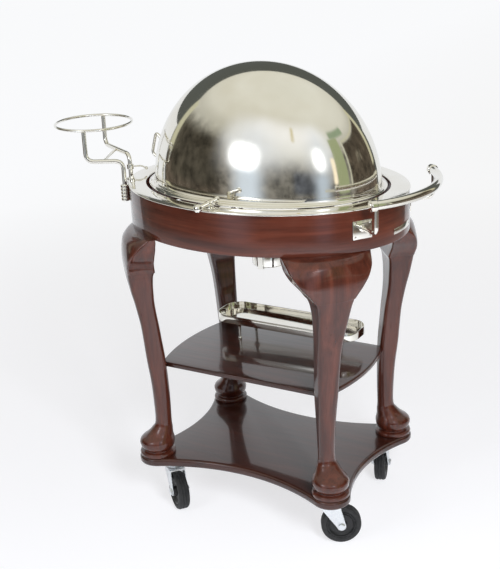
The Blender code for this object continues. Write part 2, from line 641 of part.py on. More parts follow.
def make_pan():
    """Frame on the trunnions, water pan, cover with two gravy pots, and carving board."""
    inner = (FRAME_HALF_LENGTH - FRAME_BAND, FRAME_HALF_WIDTH - FRAME_BAND)
    frame = as_mesh(flat_curve("pan_frame", [oval(FRAME_HALF_LENGTH, FRAME_HALF_WIDTH), oval(*inner)],
                               FRAME_TOP - FRAME_HEIGHT, FRAME_HEIGHT, silver))
    for side in (-1, 1):
        lug_low = min(side * (FRAME_HALF_WIDTH - FRAME_BAND / 2), side * (FRAME_HALF_WIDTH + LUG_REACH))
        lug = box("frame_lug", (-LUG_WIDTH / 2, lug_low, FRAME_TOP - FRAME_HEIGHT),
                  (LUG_WIDTH / 2, lug_low + FRAME_BAND / 2 + LUG_REACH, FRAME_TOP), silver)
        combine(frame, lug, "UNION")
        hole = rod("lug_hole", (0.0, side * (inner[1] - OVERRUN), AXIS_HEIGHT),
                   (0.0, side * (FRAME_HALF_WIDTH + LUG_REACH + OVERRUN), AXIS_HEIGHT),
                   SHAFT_RADIUS + SEAT_GAP, silver)
        combine(frame, hole, "DIFFERENCE")
    body = (inner[0] - PAN_CLEARANCE, inner[1] - PAN_CLEARANCE)
    bend = PAN_CLEARANCE * 2
    oval_shell("water_pan",
               [(FRAME_HALF_LENGTH, FRAME_HALF_WIDTH, FRAME_TOP + SEAT_GAP),
                (body[0], body[1], FRAME_TOP + SEAT_GAP),
                (body[0] - PAN_TAPER + bend, body[1] - PAN_TAPER + bend, FRAME_TOP - PAN_DEPTH + bend),
                (body[0] - PAN_TAPER, body[1] - PAN_TAPER, FRAME_TOP - PAN_DEPTH)],
               PAN_WALL, silver)
    holes = []
    for side in (-1, 1):
        ring = oval(POT_RADIUS + SEAT_GAP, POT_RADIUS + SEAT_GAP, ROUND_STEPS)
        holes.append([(x + POT_OFFSET, y + side * POT_SPREAD) for x, y in ring])
    flat_curve("pan_cover", [oval(FRAME_HALF_LENGTH, FRAME_HALF_WIDTH)] + holes,
               COVER_TOP - COVER_THICKNESS, COVER_THICKNESS, silver)
    lip = POT_RADIUS + POT_LIP
    lip_top = SEAT_GAP + POT_WALL
    for side, name in ((-1, "front"), (1, "back")):
        place = (POT_OFFSET, side * POT_SPREAD, COVER_TOP)
        pot = [(0.0, POT_WALL - POT_DEPTH), (POT_RADIUS - POT_WALL, POT_WALL - POT_DEPTH),
               (POT_RADIUS - POT_WALL, lip_top), (lip, lip_top), (lip, SEAT_GAP), (POT_RADIUS, SEAT_GAP),
               (POT_RADIUS, -POT_DEPTH), (0.0, -POT_DEPTH)]
        turned("gravy_pot_" + name, pot, silver, place)
        seat = lip_top + SEAT_GAP
        knob = seat + LID_RISE
        lid = [(0.0, knob + LID_KNOB_HEIGHT), (LID_KNOB_RADIUS * 0.7, knob + LID_KNOB_HEIGHT * 0.95),
               (LID_KNOB_RADIUS, knob + LID_KNOB_HEIGHT * 0.7),
               (LID_KNOB_RADIUS * 0.45, knob + LID_KNOB_HEIGHT * 0.3),
               (LID_KNOB_RADIUS * 0.6, knob), (POT_RADIUS * 0.55, seat + LID_RISE * 0.85),
               (POT_RADIUS * 0.9, seat + LID_RISE * 0.35), (lip, seat + POT_WALL), (lip, seat), (0.0, seat)]
        turned("gravy_lid_" + name, lid, silver, place)
    slab("carving_board", [(x + BOARD_CENTRE, y) for x, y in oval(BOARD_HALF_LENGTH, BOARD_HALF_WIDTH, 36)],
         COVER_TOP + SEAT_GAP, BOARD_THICKNESS, BOARD_THICKNESS / 5, maple)


def make_burner():
    """Burner drum, its cap, and the strap that hangs it from the pan frame."""
    half = STRAP_THICKNESS / 2
    seat = BURNER_RADIUS + SEAT_GAP + half
    top_y = FRAME_HALF_WIDTH - FRAME_BAND / 2
    top_z = FRAME_TOP - FRAME_HEIGHT - SEAT_GAP
    knee_z = FRAME_TOP - PAN_DEPTH - STRAP_SHOULDER
    low_z = knee_z - STRAP_SLOPE_DROP
    floor = BURNER_BOTTOM - SEAT_GAP - half
    half_path = [(top_y, top_z), (top_y, knee_z), (seat, low_z), (seat, floor)]
    path = [Vector((-y, z)) for y, z in half_path] + [Vector((y, z)) for y, z in reversed(half_path)]
    outer, inner = [], []
    for index, here in enumerate(path):
        before = (here - path[index - 1]).normalized() if index else None
        after = (path[index + 1] - here).normalized() if index < len(path) - 1 else None
        along = ((before or after) + (after or before)).normalized()
        stretch = 1 / max(along.dot(before or after), 0.5)
        side = Vector((-along.y, along.x)) * half * stretch
        outer.append(here + side)
        inner.append(here - side)
    bm = bmesh.new()
    loop = [bm.verts.new((-STRAP_WIDTH / 2, p.x, p.y)) for p in outer + inner[::-1]]
    face = bm.faces.new(loop)
    grown = bmesh.ops.extrude_face_region(bm, geom=[face])
    moved = [item for item in grown["geom"] if isinstance(item, bmesh.types.BMVert)]
    bmesh.ops.translate(bm, verts=moved, vec=(STRAP_WIDTH, 0.0, 0.0))
    bmesh.ops.recalc_face_normals(bm, faces=bm.faces)
    finish_mesh("burner_hanger", bm, silver)
    top = BURNER_HEIGHT + BURNER_NECK_HEIGHT
    turned("burner_drum",
           [(0.0, BURNER_NECK_HEIGHT), (BURNER_BORE, BURNER_NECK_HEIGHT), (BURNER_BORE, top),
            (BURNER_NECK_RADIUS, top), (BURNER_NECK_RADIUS, BURNER_HEIGHT),
            (BURNER_RADIUS * 0.85, BURNER_HEIGHT), (BURNER_RADIUS, BURNER_HEIGHT * 0.85),
            (BURNER_RADIUS, 0.0), (0.0, 0.0)],
           silver, (0.0, 0.0, BURNER_BOTTOM))
    cap_z = BURNER_BOTTOM + top + SEAT_GAP
    cap = rod("burner_cap", (0.0, 0.0, cap_z), (0.0, 0.0, cap_z + CAP_THICKNESS), CAP_RADIUS, silver,
              ROUND_STEPS)
    pin_x = BURNER_RADIUS * 0.75
    arm = box("cap_arm", (0.0, -CAP_ARM_WIDTH / 2, cap_z + CAP_THICKNESS / 4),
              (pin_x, CAP_ARM_WIDTH / 2, cap_z + CAP_THICKNESS * 0.75), silver)
    knuckle = rod("cap_knuckle", (pin_x, -CAP_ARM_WIDTH / 2, cap_z + CAP_THICKNESS / 2),
                  (pin_x, CAP_ARM_WIDTH / 2, cap_z + CAP_THICKNESS / 2), CAP_THICKNESS, silver)
    hole = rod("cap_bore", (pin_x, -CAP_ARM_WIDTH, cap_z + CAP_THICKNESS / 2),
               (pin_x, CAP_ARM_WIDTH, cap_z + CAP_THICKNESS / 2), CAP_PIN_RADIUS + RUN_GAP, silver)
    combine(cap, arm, "UNION")
    combine(cap, knuckle, "UNION")
    combine(cap, hole, "DIFFERENCE")
    pivot("cap_axis", (pin_x, 0.0, cap_z + CAP_THICKNESS / 2), [cap])
    ear = CAP_ARM_WIDTH / 2 + RUN_GAP
    seat_z = BURNER_BOTTOM + BURNER_HEIGHT
    hinge = box("burner_hinge", (pin_x - CAP_THICKNESS, -ear - CAP_THICKNESS, seat_z + SEAT_GAP),
                (pin_x + CAP_THICKNESS, ear + CAP_THICKNESS, cap_z + CAP_THICKNESS * 1.4), silver)
    slot = box("hinge_slot", (pin_x - CAP_THICKNESS * 2, -ear, seat_z + CAP_THICKNESS / 2),
               (pin_x + CAP_THICKNESS * 2, ear, cap_z + CAP_THICKNESS * 2), silver)
    pin = rod("hinge_pin", (pin_x, -ear - CAP_THICKNESS / 2, cap_z + CAP_THICKNESS / 2),
              (pin_x, ear + CAP_THICKNESS / 2, cap_z + CAP_THICKNESS / 2), CAP_PIN_RADIUS, silver)
    combine(hinge, slot, "DIFFERENCE")
    combine(hinge, pin, "UNION")


# Foot pad as shares: height, radius, way from the pad's centre to the ankle's
PAD_SHARES = [(0.00, 0.875, 0.00), (0.06, 0.960, 0.00), (0.18, 1.000, 0.00), (0.30, 0.985, 0.02),
              (0.42, 0.880, 0.16), (0.56, 0.740, 0.46), (0.76, 0.590, 0.80)]
# Shaft and knee as shares: height, then the way from ankle to knee for the centre, the depth,
# the width, the squareness, and the turn from the foot's diagonal to the hoop's own direction
SHAFT_SHARES = [
    (0.000, 0.00, 0.00, 0.00, 0.0, 0.0), (0.105, 0.00, 0.01, 0.01, 0.3, 0.0),
    (0.220, 0.07, 0.05, 0.02, 0.6, 0.0), (0.335, 0.22, 0.12, 0.05, 0.8, 0.0),
    (0.487, 0.49, 0.20, 0.09, 0.9, 0.1), (0.600, 0.68, 0.29, 0.13, 0.9, 0.3),
    (0.676, 0.84, 0.45, 0.16, 0.8, 0.5), (0.743, 0.89, 0.70, 0.19, 0.7, 0.6),
    (0.791, 0.88, 0.95, 0.31, 0.6, 0.8), (0.838, 0.97, 0.98, 0.46, 0.5, 0.9),
    (0.876, 1.00, 1.00, 0.65, 0.4, 1.0), (0.925, 1.00, 0.93, 0.88, 0.4, 1.0),
    (0.972, 0.93, 0.71, 0.98, 0.4, 1.0), (1.000, 0.81, 0.50, 1.00, 0.4, 1.0)]


def leg_loft(side_x, side_y, grow=0.0):
    """One cabriole leg about its foot's centre; its knee follows the hoop above."""
    spread = atan2(FOOT_Y / TOP_HALF_WIDTH, FOOT_X / TOP_HALF_LENGTH)
    _, hoop_out, _ = oval_frame(spread, 0.0)
    hoop_turn = atan2(hoop_out.y, hoop_out.x)
    diagonal = atan2(FOOT_Y, FOOT_X)
    bend = hypot(TOP_HALF_LENGTH * sin(spread), TOP_HALF_WIDTH * cos(spread)) ** 3
    bend /= TOP_HALF_LENGTH * TOP_HALF_WIDTH
    neck = DISC_HEIGHT + DISC_NECK_HEIGHT
    shaft = LEG_TOP - LEG_BOTTOM - PAD_HEIGHT - neck
    small = DISC_RADIUS - DISC_HEIGHT / 4
    disc = [(0.0, small), (DISC_HEIGHT / 4, DISC_RADIUS), (DISC_HEIGHT * 3 / 4, DISC_RADIUS),
            (DISC_HEIGHT, small), (DISC_HEIGHT, DISC_NECK_RADIUS), (neck, DISC_NECK_RADIUS)]
    sections = [(height, 0.0, radius, radius, 0.0, 0.0) for height, radius in disc]
    sections += [(neck + share * PAD_HEIGHT, -ANKLE_SET_BACK * back, PAD_RADIUS * wide, PAD_RADIUS * wide,
                  0.0, 0.0) for share, wide, back in PAD_SHARES]
    for high, sway, deep, wide, square, turn in SHAFT_SHARES:
        sections.append((neck + PAD_HEIGHT + shaft * high,
                         -ANKLE_SET_BACK + (KNEE_CENTRE + ANKLE_SET_BACK) * sway,
                         ANKLE_RADIUS + (KNEE_HALF_DEPTH - ANKLE_RADIUS) * deep,
                         ANKLE_RADIUS + (KNEE_HALF_WIDTH - ANKLE_RADIUS) * wide, square, turn))
    bm = bmesh.new()
    before = None
    for height, middle, depth, width, square, turn in sections:
        facing = diagonal + (hoop_turn - diagonal) * turn
        out = Vector((cos(facing), sin(facing)))
        side = Vector((-out.y, out.x))
        ring = []
        for step in range(LEG_STEPS):
            angle = 2 * pi * step / LEG_STEPS
            power = 2 / (2 + square)
            along = (depth + grow) * copysign(abs(cos(angle)) ** power, cos(angle))
            across = (width + grow) * copysign(abs(sin(angle)) ** power, sin(angle))
            sag = across ** 2 / (2 * bend)
            spot = out * (middle + along - sag) + side * across
            ring.append(bm.verts.new((side_x * spot.x, side_y * spot.y, height)))
        loop = [bm.edges.new((ring[i - 1], ring[i])) for i in range(LEG_STEPS)]
        if before:
            bmesh.ops.bridge_loops(bm, edges=before + loop)
        else:
            bm.faces.new(ring)
        before = loop
    bm.faces.new(ring)
    bmesh.ops.recalc_face_normals(bm, faces=bm.faces)
    return bm


def make_legs():
    """Four cabriole legs with the discs that they stand on."""
    for name, (side_x, side_y, _) in CORNERS.items():
        finish_mesh("leg_" + name, leg_loft(side_x, side_y), mahogany,
                    (side_x * FOOT_X, side_y * FOOT_Y, LEG_BOTTOM), smooth=50.0)


def mirrored_outline(quarter):
    """Outline of a piece with two mirror planes, from its quarter at +X +Y, anticlockwise."""
    upper = quarter + [(-x, y) for x, y in reversed(quarter)]
    return upper + [(-x, -y) for x, y in upper]


def make_shelves():
    """Lower board with hollow sides and round ears, and the middle shelf."""
    ear = LOWER_BOARD_EAR
    gap_y = LOWER_BOARD_HALF_WIDTH - FOOT_Y
    side_bow = (FOOT_X ** 2 + gap_y ** 2 - ear ** 2) / (2 * (ear - gap_y))
    gap_x = LOWER_BOARD_HALF_LENGTH - FOOT_X
    end_bow = (FOOT_Y ** 2 + gap_x ** 2 - ear ** 2) / (2 * (ear - gap_x))
    end_centre = (LOWER_BOARD_HALF_LENGTH + end_bow, 0.0)
    side_centre = (0.0, LOWER_BOARD_HALF_WIDTH + side_bow)
    end_turn = atan2(FOOT_Y - end_centre[1], FOOT_X - end_centre[0])
    side_turn = atan2(FOOT_Y - side_centre[1], FOOT_X - side_centre[0])
    end_arc = arc(end_centre, end_bow, pi, end_turn, 6)
    ear_arc = arc((FOOT_X, FOOT_Y), ear, end_turn - pi, side_turn + pi, 10)
    side_arc = arc(side_centre, side_bow, side_turn, -pi / 2, 7)
    quarter = end_arc[:-1] + ear_arc + side_arc[1:]
    outline = mirrored_outline(quarter)
    slab("lower_board", drop_doubles(outline), BOARD_BOTTOM, LOWER_BOARD_THICKNESS, LOWER_BOARD_EDGE,
         mahogany)
    cut = SHELF_CORNER_CUT
    corner_x = SHELF_HALF_LENGTH - SHELF_END_BOW
    half = SHELF_HALF_WIDTH - cut
    bow = (half ** 2 + SHELF_END_BOW ** 2) / (2 * SHELF_END_BOW)
    open_angle = atan2(half, bow - SHELF_END_BOW)
    end = arc((SHELF_HALF_LENGTH - bow, 0.0), bow, 0.0, open_angle, 7)
    shelf = end + [(corner_x - cut, SHELF_HALF_WIDTH)]
    board = slab("mid_shelf", drop_doubles(mirrored_outline(shelf)), SHELF_TOP - SHELF_THICKNESS,
                 SHELF_THICKNESS, SHELF_EDGE, mahogany)
    for name, (side_x, side_y, _) in CORNERS.items():
        room = finish_mesh("leg_room_" + name, leg_loft(side_x, side_y, SEAT_GAP), mahogany,
                           (side_x * FOOT_X, side_y * FOOT_Y, LEG_BOTTOM))
        combine(board, room, "DIFFERENCE")


def drop_doubles(outline):
    """The outline without points that repeat the one before."""
    kept = []
    for point in outline:
        if not kept or hypot(point[0] - kept[-1][0], point[1] - kept[-1][1]) > SEAT_GAP:
            kept.append(point)
    if hypot(kept[0][0] - kept[-1][0], kept[0][1] - kept[-1][1]) <= SEAT_GAP:
        kept.pop()
    return kept


def rounded_box_outline(half_length, half_depth, corner, count=6):
    """A rectangle with round corners, about the origin."""
    quarter = arc((half_length - corner, half_depth - corner), corner, 0.0, pi / 2, count)
    return drop_doubles(mirrored_outline(quarter))


def make_gallery():
    """Raised tray for bottles, with its band wall and four posts."""
    base_z = SHELF_TOP + SEAT_GAP + POST_HEIGHT - GALLERY_BASE / 2
    outer = rounded_box_outline(GALLERY_HALF_LENGTH, GALLERY_HALF_DEPTH, GALLERY_CORNER)
    inner = rounded_box_outline(GALLERY_HALF_LENGTH - GALLERY_WALL, GALLERY_HALF_DEPTH - GALLERY_WALL,
                                GALLERY_CORNER - GALLERY_WALL)
    tray = as_mesh(flat_curve("bottle_gallery", [outer], base_z, GALLERY_HEIGHT, silver,
                              (0.0, GALLERY_CENTRE_Y)))
    room = as_mesh(flat_curve("tray_room", [inner], base_z + GALLERY_BASE, GALLERY_HEIGHT, silver,
                              (0.0, GALLERY_CENTRE_Y)))
    combine(tray, room, "DIFFERENCE")
    profile = [(0.0, POST_HEIGHT), (POST_RADIUS, POST_HEIGHT), (POST_RADIUS, POST_FOOT_HEIGHT),
               (POST_FOOT_RADIUS, POST_FOOT_HEIGHT / 2), (POST_FOOT_RADIUS, 0.0), (0.0, 0.0)]
    x = GALLERY_HALF_LENGTH - POST_INSET
    y = GALLERY_HALF_DEPTH - POST_EDGE
    for side_x in (-1, 1):
        for side_y in (-1, 1):
            post = turned("gallery_post", profile, silver,
                          (side_x * x, GALLERY_CENTRE_Y + side_y * y, SHELF_TOP + SEAT_GAP), steps=12)
            combine(tray, post, "UNION")


def make_plate_holder():
    """Two ribbed sockets on the hoop and the bent tubes that stand in them."""
    stand_off = SOCKET_RADIUS + SEAT_GAP
    base, out, side = oval_frame(HOLDER_OVAL_ANGLE, stand_off)
    bore = HOLDER_TUBE_RADIUS + RUN_GAP
    rib = SOCKET_HEIGHT / SOCKET_RIBS
    profile = [(0.0, SOCKET_FLOOR), (bore, SOCKET_FLOOR), (bore, SOCKET_HEIGHT)]
    for index in range(SOCKET_RIBS, 0, -1):
        profile += [(SOCKET_RADIUS * wide, rib * (index - down)) for down, wide in SOCKET_RIB_SHARES]
    profile += [(SOCKET_RADIUS, 0.0), (0.0, 0.0)]
    ends = {}
    for sign, name in ((-1, "back"), (1, "front")):
        spot = base + side * sign * HOLDER_SOCKET_SPREAD
        angle = atan2(spot.y / TOP_HALF_WIDTH, spot.x / TOP_HALF_LENGTH)
        foot, _, _ = oval_frame(angle, stand_off)
        turned("holder_socket_" + name, profile, silver, (foot.x, foot.y, SOCKET_BOTTOM), steps=16)
        reach = base + out * HOLDER_REACH + side * (HOLDER_SHIFT + sign * RING_RADIUS)
        corners = [(foot.x, foot.y, SOCKET_BOTTOM + SOCKET_FLOOR + SEAT_GAP),
                   (foot.x, foot.y, HOLDER_RUN_HEIGHT), (reach.x, reach.y, HOLDER_RUN_HEIGHT),
                   (reach.x, reach.y, RING_HEIGHT - RING_WIRE - SEAT_GAP)]
        tube("holder_tube_" + name, rounded_path(corners, HOLDER_BEND), HOLDER_TUBE_RADIUS, silver)
        ends[name] = (foot, reach)
    return ends


def make_ring_and_bars():
    """Plate ring, crossbar and catch on the two holder tubes."""
    ends = make_plate_holder()
    base, out, side = oval_frame(HOLDER_OVAL_ANGLE, SOCKET_RADIUS + SEAT_GAP)
    middle = base + out * HOLDER_REACH + side * HOLDER_SHIFT
    ring = [(middle.x + x, middle.y + y, RING_HEIGHT) for x, y in oval(RING_RADIUS, RING_RADIUS, 36)]
    tube("plate_ring", ring, RING_WIRE, silver, closed=True)
    stops = []
    for name in ("front", "back"):
        foot, reach = ends[name]
        stops.append(foot.lerp(reach, CROSSBAR_SHARE))
    lift = Vector((0.0, 0.0, HOLDER_RUN_HEIGHT))
    bar = rod("holder_crossbar", stops[0] + lift, stops[1] + lift, CROSSBAR_RADIUS, silver, 12)
    for name in ("front", "back"):
        foot, reach = ends[name]
        run = (reach - foot).normalized() * HOLDER_BEND
        room = rod("tube_room_" + name, foot + run + lift, reach - run + lift,
                   HOLDER_TUBE_RADIUS + SEAT_GAP, silver)
        combine(bar, room, "DIFFERENCE")
    foot, _ = ends["back"]
    hole = HOLDER_TUBE_RADIUS + SEAT_GAP
    clamp = hole + CATCH_CLAMP_WALL
    half = CATCH_CLAMP_HEIGHT / 2
    clamp_profile = [(hole, half), (clamp, half), (clamp, -half), (hole, -half)]
    catch = as_mesh(turned("holder_catch", clamp_profile, silver, (foot.x, foot.y, CATCH_HEIGHT),
                           steps=SMALL_STEPS, ring=True))
    tip = foot - out * CATCH_LENGTH
    start = foot - out * (hole + CATCH_CLAMP_WALL / 2)
    arm_path = [(start.x, start.y, CATCH_HEIGHT), (*start.lerp(tip, 0.6).xy, CATCH_HEIGHT + CATCH_BALL / 2),
                (tip.x, tip.y, CATCH_HEIGHT - CATCH_BALL)]
    arm = as_mesh(tube("catch_arm", rounded_path(arm_path, CATCH_BALL), CATCH_WIRE, silver, resolution=1))
    bm = bmesh.new()
    bmesh.ops.create_uvsphere(bm, u_segments=12, v_segments=8, radius=CATCH_BALL)
    ball = finish_mesh("catch_ball", bm, silver, (tip.x, tip.y, CATCH_HEIGHT - CATCH_BALL))
    combine(catch, arm, "UNION")
    combine(catch, ball, "UNION")


def make_push_handle():
    """Bowed handle with end caps, its brackets, and the bare plate on the hoop."""
    bow_rise = HANDLE_TIP - HANDLE_END_X
    bow = (HANDLE_HALF_SPAN ** 2 + bow_rise ** 2) / (2 * bow_rise)
    middle = HANDLE_TIP - bow
    open_angle = atan2(HANDLE_HALF_SPAN, bow - bow_rise)
    path = [(x, y, HANDLE_HEIGHT) for x, y in arc((middle, 0.0), bow, -open_angle, open_angle, 20)]
    handle = as_mesh(tube("push_handle", path, HANDLE_TUBE_RADIUS, silver, resolution=3))
    cap = HANDLE_CAP_LENGTH
    profile = [(0.0, cap), (HANDLE_CAP_RADIUS * 0.9, cap), (HANDLE_CAP_RADIUS, cap * 0.85),
               (HANDLE_CAP_RADIUS, -cap), (0.0, -cap)]
    for side, name in ((-1, "front"), (1, "back")):
        away = Vector((-sin(open_angle), side * cos(open_angle), 0.0))
        end = (middle + bow * cos(open_angle), side * bow * sin(open_angle), HANDLE_HEIGHT)
        combine(handle, turned("handle_cap", profile, silver, end, away, SMALL_STEPS), "UNION")
        angle = -side * BRACKET_OVAL_ANGLE
        foot, out, _ = oval_frame(angle, SEAT_GAP)
        turn = atan2(out.y, out.x)
        plate = box("handle_bracket_" + name, (0.0, -BRACKET_WIDTH / 2, -BRACKET_HEIGHT / 2),
                    (BRACKET_THICKNESS, BRACKET_WIDTH / 2, BRACKET_HEIGHT / 2), silver,
                    (foot.x, foot.y, BRACKET_CENTRE), turn)
        seat = Vector((end[0], end[1], 0.0))
        low = BRACKET_CENTRE + STRUT_LIFT
        top = HANDLE_HEIGHT - HANDLE_CAP_RADIUS - SEAT_GAP
        start = foot + out * BRACKET_THICKNESS / 2
        corners = [(start.x, start.y, low), (seat.x, seat.y, low), (seat.x, seat.y, top)]
        strut = as_mesh(tube("strut_" + name, rounded_path(corners, STRUT_BEND), STRUT_RADIUS, silver))
        combine(plate, strut, "UNION")
    spread = asin(END_PLATE_HALF_WIDTH / TOP_HALF_WIDTH)
    outline = []
    for offset, order in ((SEAT_GAP, 1), (SEAT_GAP + END_PLATE_THICKNESS, -1)):
        for step in range(9):
            spot, _, _ = oval_frame(order * spread * (step / 4 - 1), offset)
            outline.append((spot.x, spot.y))
    slab("end_plate", outline, END_PLATE_CENTRE - END_PLATE_HEIGHT / 2, END_PLATE_HEIGHT, 0.0, silver)


def make_castor(name, side_x, side_y, heading):
    """One swivel castor: plate, fork, axle, wheel centre and tyre."""
    swivel = Vector((side_x * CASTOR_X, side_y * CASTOR_Y, 0.0))
    turn = radians(heading)
    crown = AXLE_HEIGHT + WHEEL_RADIUS + WHEEL_TO_CROWN
    head_top = crown + FORK_THICKNESS + FORK_HEAD_HEIGHT
    plate_low = BOARD_BOTTOM - SEAT_GAP - CASTOR_PLATE_THICKNESS
    half = CASTOR_PLATE_WIDTH / 2
    plate = box("castor_plate_" + name, (-half, -half, plate_low),
                (half, half, plate_low + CASTOR_PLATE_THICKNESS), zinc, swivel)
    race = rod("race_" + name, (swivel.x, swivel.y, head_top + RUN_GAP),
               (swivel.x, swivel.y, plate_low + CASTOR_PLATE_THICKNESS / 2), SWIVEL_RACE_RADIUS, zinc, 24)
    combine(plate, race, "UNION")
    inner = HUB_WIDTH / 2 + RUN_GAP
    eye = arc((TRAIL, AXLE_HEIGHT), FORK_EYE, -pi * 0.92, pi * 0.03, 9)
    blade = [(-FORK_BACK, crown + FORK_THICKNESS)] + eye + [(FORK_FRONT, crown + FORK_THICKNESS)]
    fork = None
    for face in (-1, 1):
        bm = bmesh.new()
        start = inner if face > 0 else -inner - FORK_THICKNESS
        flat = bm.faces.new([bm.verts.new((x, start, z)) for x, z in blade])
        grown = bmesh.ops.extrude_face_region(bm, geom=[flat])
        moved = [item for item in grown["geom"] if isinstance(item, bmesh.types.BMVert)]
        bmesh.ops.translate(bm, verts=moved, vec=(0.0, FORK_THICKNESS, 0.0))
        bmesh.ops.recalc_face_normals(bm, faces=bm.faces)
        cheek = finish_mesh("castor_fork_" + name if face < 0 else "cheek_" + name, bm, zinc, swivel, turn)
        if face < 0:
            fork = cheek
        else:
            combine(fork, cheek, "UNION")
    crown_plate = box("crown_" + name, (-FORK_BACK, -inner - FORK_THICKNESS / 2, crown),
                      (FORK_FRONT, inner + FORK_THICKNESS / 2, crown + FORK_THICKNESS), zinc, swivel, turn)
    head = rod("head_" + name, (swivel.x, swivel.y, crown + FORK_THICKNESS / 2),
               (swivel.x, swivel.y, head_top), FORK_HEAD_RADIUS, zinc, 24)
    axle = swivel + Vector((cos(turn), sin(turn), 0.0)) * TRAIL
    axle.z = AXLE_HEIGHT
    across = Vector((-sin(turn), cos(turn), 0.0))
    reach = inner + FORK_THICKNESS + OVERRUN
    hole = rod("eye_" + name, axle - across * reach, axle + across * reach, AXLE_RADIUS + SEAT_GAP, zinc)
    combine(fork, crown_plate, "UNION")
    combine(fork, head, "UNION")
    combine(fork, hole, "DIFFERENCE")
    face_at = inner + FORK_THICKNESS + SEAT_GAP
    stub = face_at + AXLE_HEAD
    bolt = [(0.0, stub), (AXLE_HEAD_RADIUS, stub), (AXLE_HEAD_RADIUS, face_at), (AXLE_RADIUS, face_at),
            (AXLE_RADIUS, -face_at), (AXLE_HEAD_RADIUS, -face_at), (AXLE_HEAD_RADIUS, -stub), (0.0, -stub)]
    pin = turned("castor_axle_" + name, bolt, zinc, axle, across, SMALL_STEPS)
    pivot("swivel_" + name, swivel, [fork, pin])
    rim = WHEEL_RADIUS - TYRE_DEPTH
    bore = AXLE_RADIUS + AXLE_BORE_GAP
    web = HUB_WEB / 2
    boss = HUB_WIDTH / 2
    edge = WHEEL_WIDTH / 2 - TYRE_SHOULDER / 3
    hub = [(bore, boss), (HUB_BOSS_RADIUS, boss), (HUB_BOSS_RADIUS, web), (rim - TYRE_SHOULDER / 2, web),
           (rim - TYRE_SHOULDER / 3, edge), (rim, edge), (rim, -edge), (rim - TYRE_SHOULDER / 3, -edge),
           (rim - TYRE_SHOULDER / 2, -web), (HUB_BOSS_RADIUS, -web), (HUB_BOSS_RADIUS, -boss),
           (bore, -boss)]
    fore = Vector((cos(turn), sin(turn), 0.0))
    roll = Matrix((fore, Vector((0.0, 0.0, -1.0)), across)).transposed().to_quaternion()
    roll = roll @ Quaternion((0.0, 0.0, 1.0), pi / ROUND_STEPS)
    wheel = turned("castor_wheel_" + name, hub, iron, axle, across, ROUND_STEPS, ring=True)
    wheel.rotation_quaternion = roll
    tread = WHEEL_WIDTH / 2 - TYRE_SHOULDER
    wide = WHEEL_WIDTH / 2
    seat = rim + SEAT_GAP
    edge = wide - TYRE_SHOULDER / 4
    tyre = [(seat, wide - TYRE_SHOULDER / 2), (rim + TYRE_SHOULDER, wide),
            (WHEEL_RADIUS - TYRE_SHOULDER / 2, edge), (WHEEL_RADIUS, tread), (WHEEL_RADIUS, -tread),
            (WHEEL_RADIUS - TYRE_SHOULDER / 2, -edge), (rim + TYRE_SHOULDER, -wide),
            (seat, TYRE_SHOULDER / 2 - wide)]
    band = turned("castor_tyre_" + name, tyre, rubber, axle, across, ROUND_STEPS, ring=True)
    band.rotation_quaternion = roll


clear_scene()
socket_line, ring_out, ring_side = oval_frame(HOLDER_OVAL_ANGLE, SOCKET_RADIUS + SEAT_GAP)
ring_end = (socket_line + ring_out * HOLDER_REACH + ring_side * HOLDER_SHIFT).x - RING_RADIUS - RING_WIRE
handle_end = HANDLE_TIP + HANDLE_TUBE_RADIUS
centre = bpy.data.objects.new("trolley_centre", None)
centre.location = (-(ring_end + handle_end) / 2, 0.0, 0.0)
parts.objects.link(centre)
make_top()
make_dome()
make_trunnions()
make_pan()
make_burner()
make_legs()
make_shelves()
make_gallery()
make_ring_and_bars()
make_push_handle()
for corner, (corner_x, corner_y, corner_heading) in CORNERS.items():
    make_castor(corner, corner_x, corner_y, corner_heading)
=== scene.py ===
# Looks of the carving trolley: polished silver plate over French polished mahogany, on rubber
# castors. Metres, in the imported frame: +X towards the push handle, -Y the front, +Z up.
import json
from math import asin, atan2, copysign, cos, hypot, pi, radians, sin, sqrt

import bmesh
import bpy
from mathutils import Matrix, Vector


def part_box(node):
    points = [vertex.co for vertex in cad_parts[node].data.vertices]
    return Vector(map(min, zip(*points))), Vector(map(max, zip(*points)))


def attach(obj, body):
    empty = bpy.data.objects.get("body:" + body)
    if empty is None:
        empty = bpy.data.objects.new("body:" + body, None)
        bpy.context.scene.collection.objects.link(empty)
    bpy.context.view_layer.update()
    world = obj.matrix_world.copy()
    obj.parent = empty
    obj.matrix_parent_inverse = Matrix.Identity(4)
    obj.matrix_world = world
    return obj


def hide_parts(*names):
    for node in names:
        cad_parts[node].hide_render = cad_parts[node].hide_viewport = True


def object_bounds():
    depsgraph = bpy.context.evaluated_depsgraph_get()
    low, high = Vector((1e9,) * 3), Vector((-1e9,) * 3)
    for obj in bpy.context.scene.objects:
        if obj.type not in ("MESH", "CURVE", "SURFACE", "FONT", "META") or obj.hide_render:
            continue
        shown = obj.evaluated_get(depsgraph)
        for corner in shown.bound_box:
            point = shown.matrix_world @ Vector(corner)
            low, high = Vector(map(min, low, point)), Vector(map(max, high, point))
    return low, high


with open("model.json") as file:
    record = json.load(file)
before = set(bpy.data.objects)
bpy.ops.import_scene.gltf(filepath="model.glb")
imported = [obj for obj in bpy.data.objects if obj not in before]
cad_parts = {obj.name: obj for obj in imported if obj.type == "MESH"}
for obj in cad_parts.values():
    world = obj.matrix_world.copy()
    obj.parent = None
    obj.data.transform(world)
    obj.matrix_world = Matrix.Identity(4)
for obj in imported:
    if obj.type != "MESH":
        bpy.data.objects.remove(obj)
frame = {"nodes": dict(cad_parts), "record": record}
cad_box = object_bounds()

MM = 0.001
# The two long sides, by the sign of their y
ENDS = ((-1, "front"), (1, "back"))

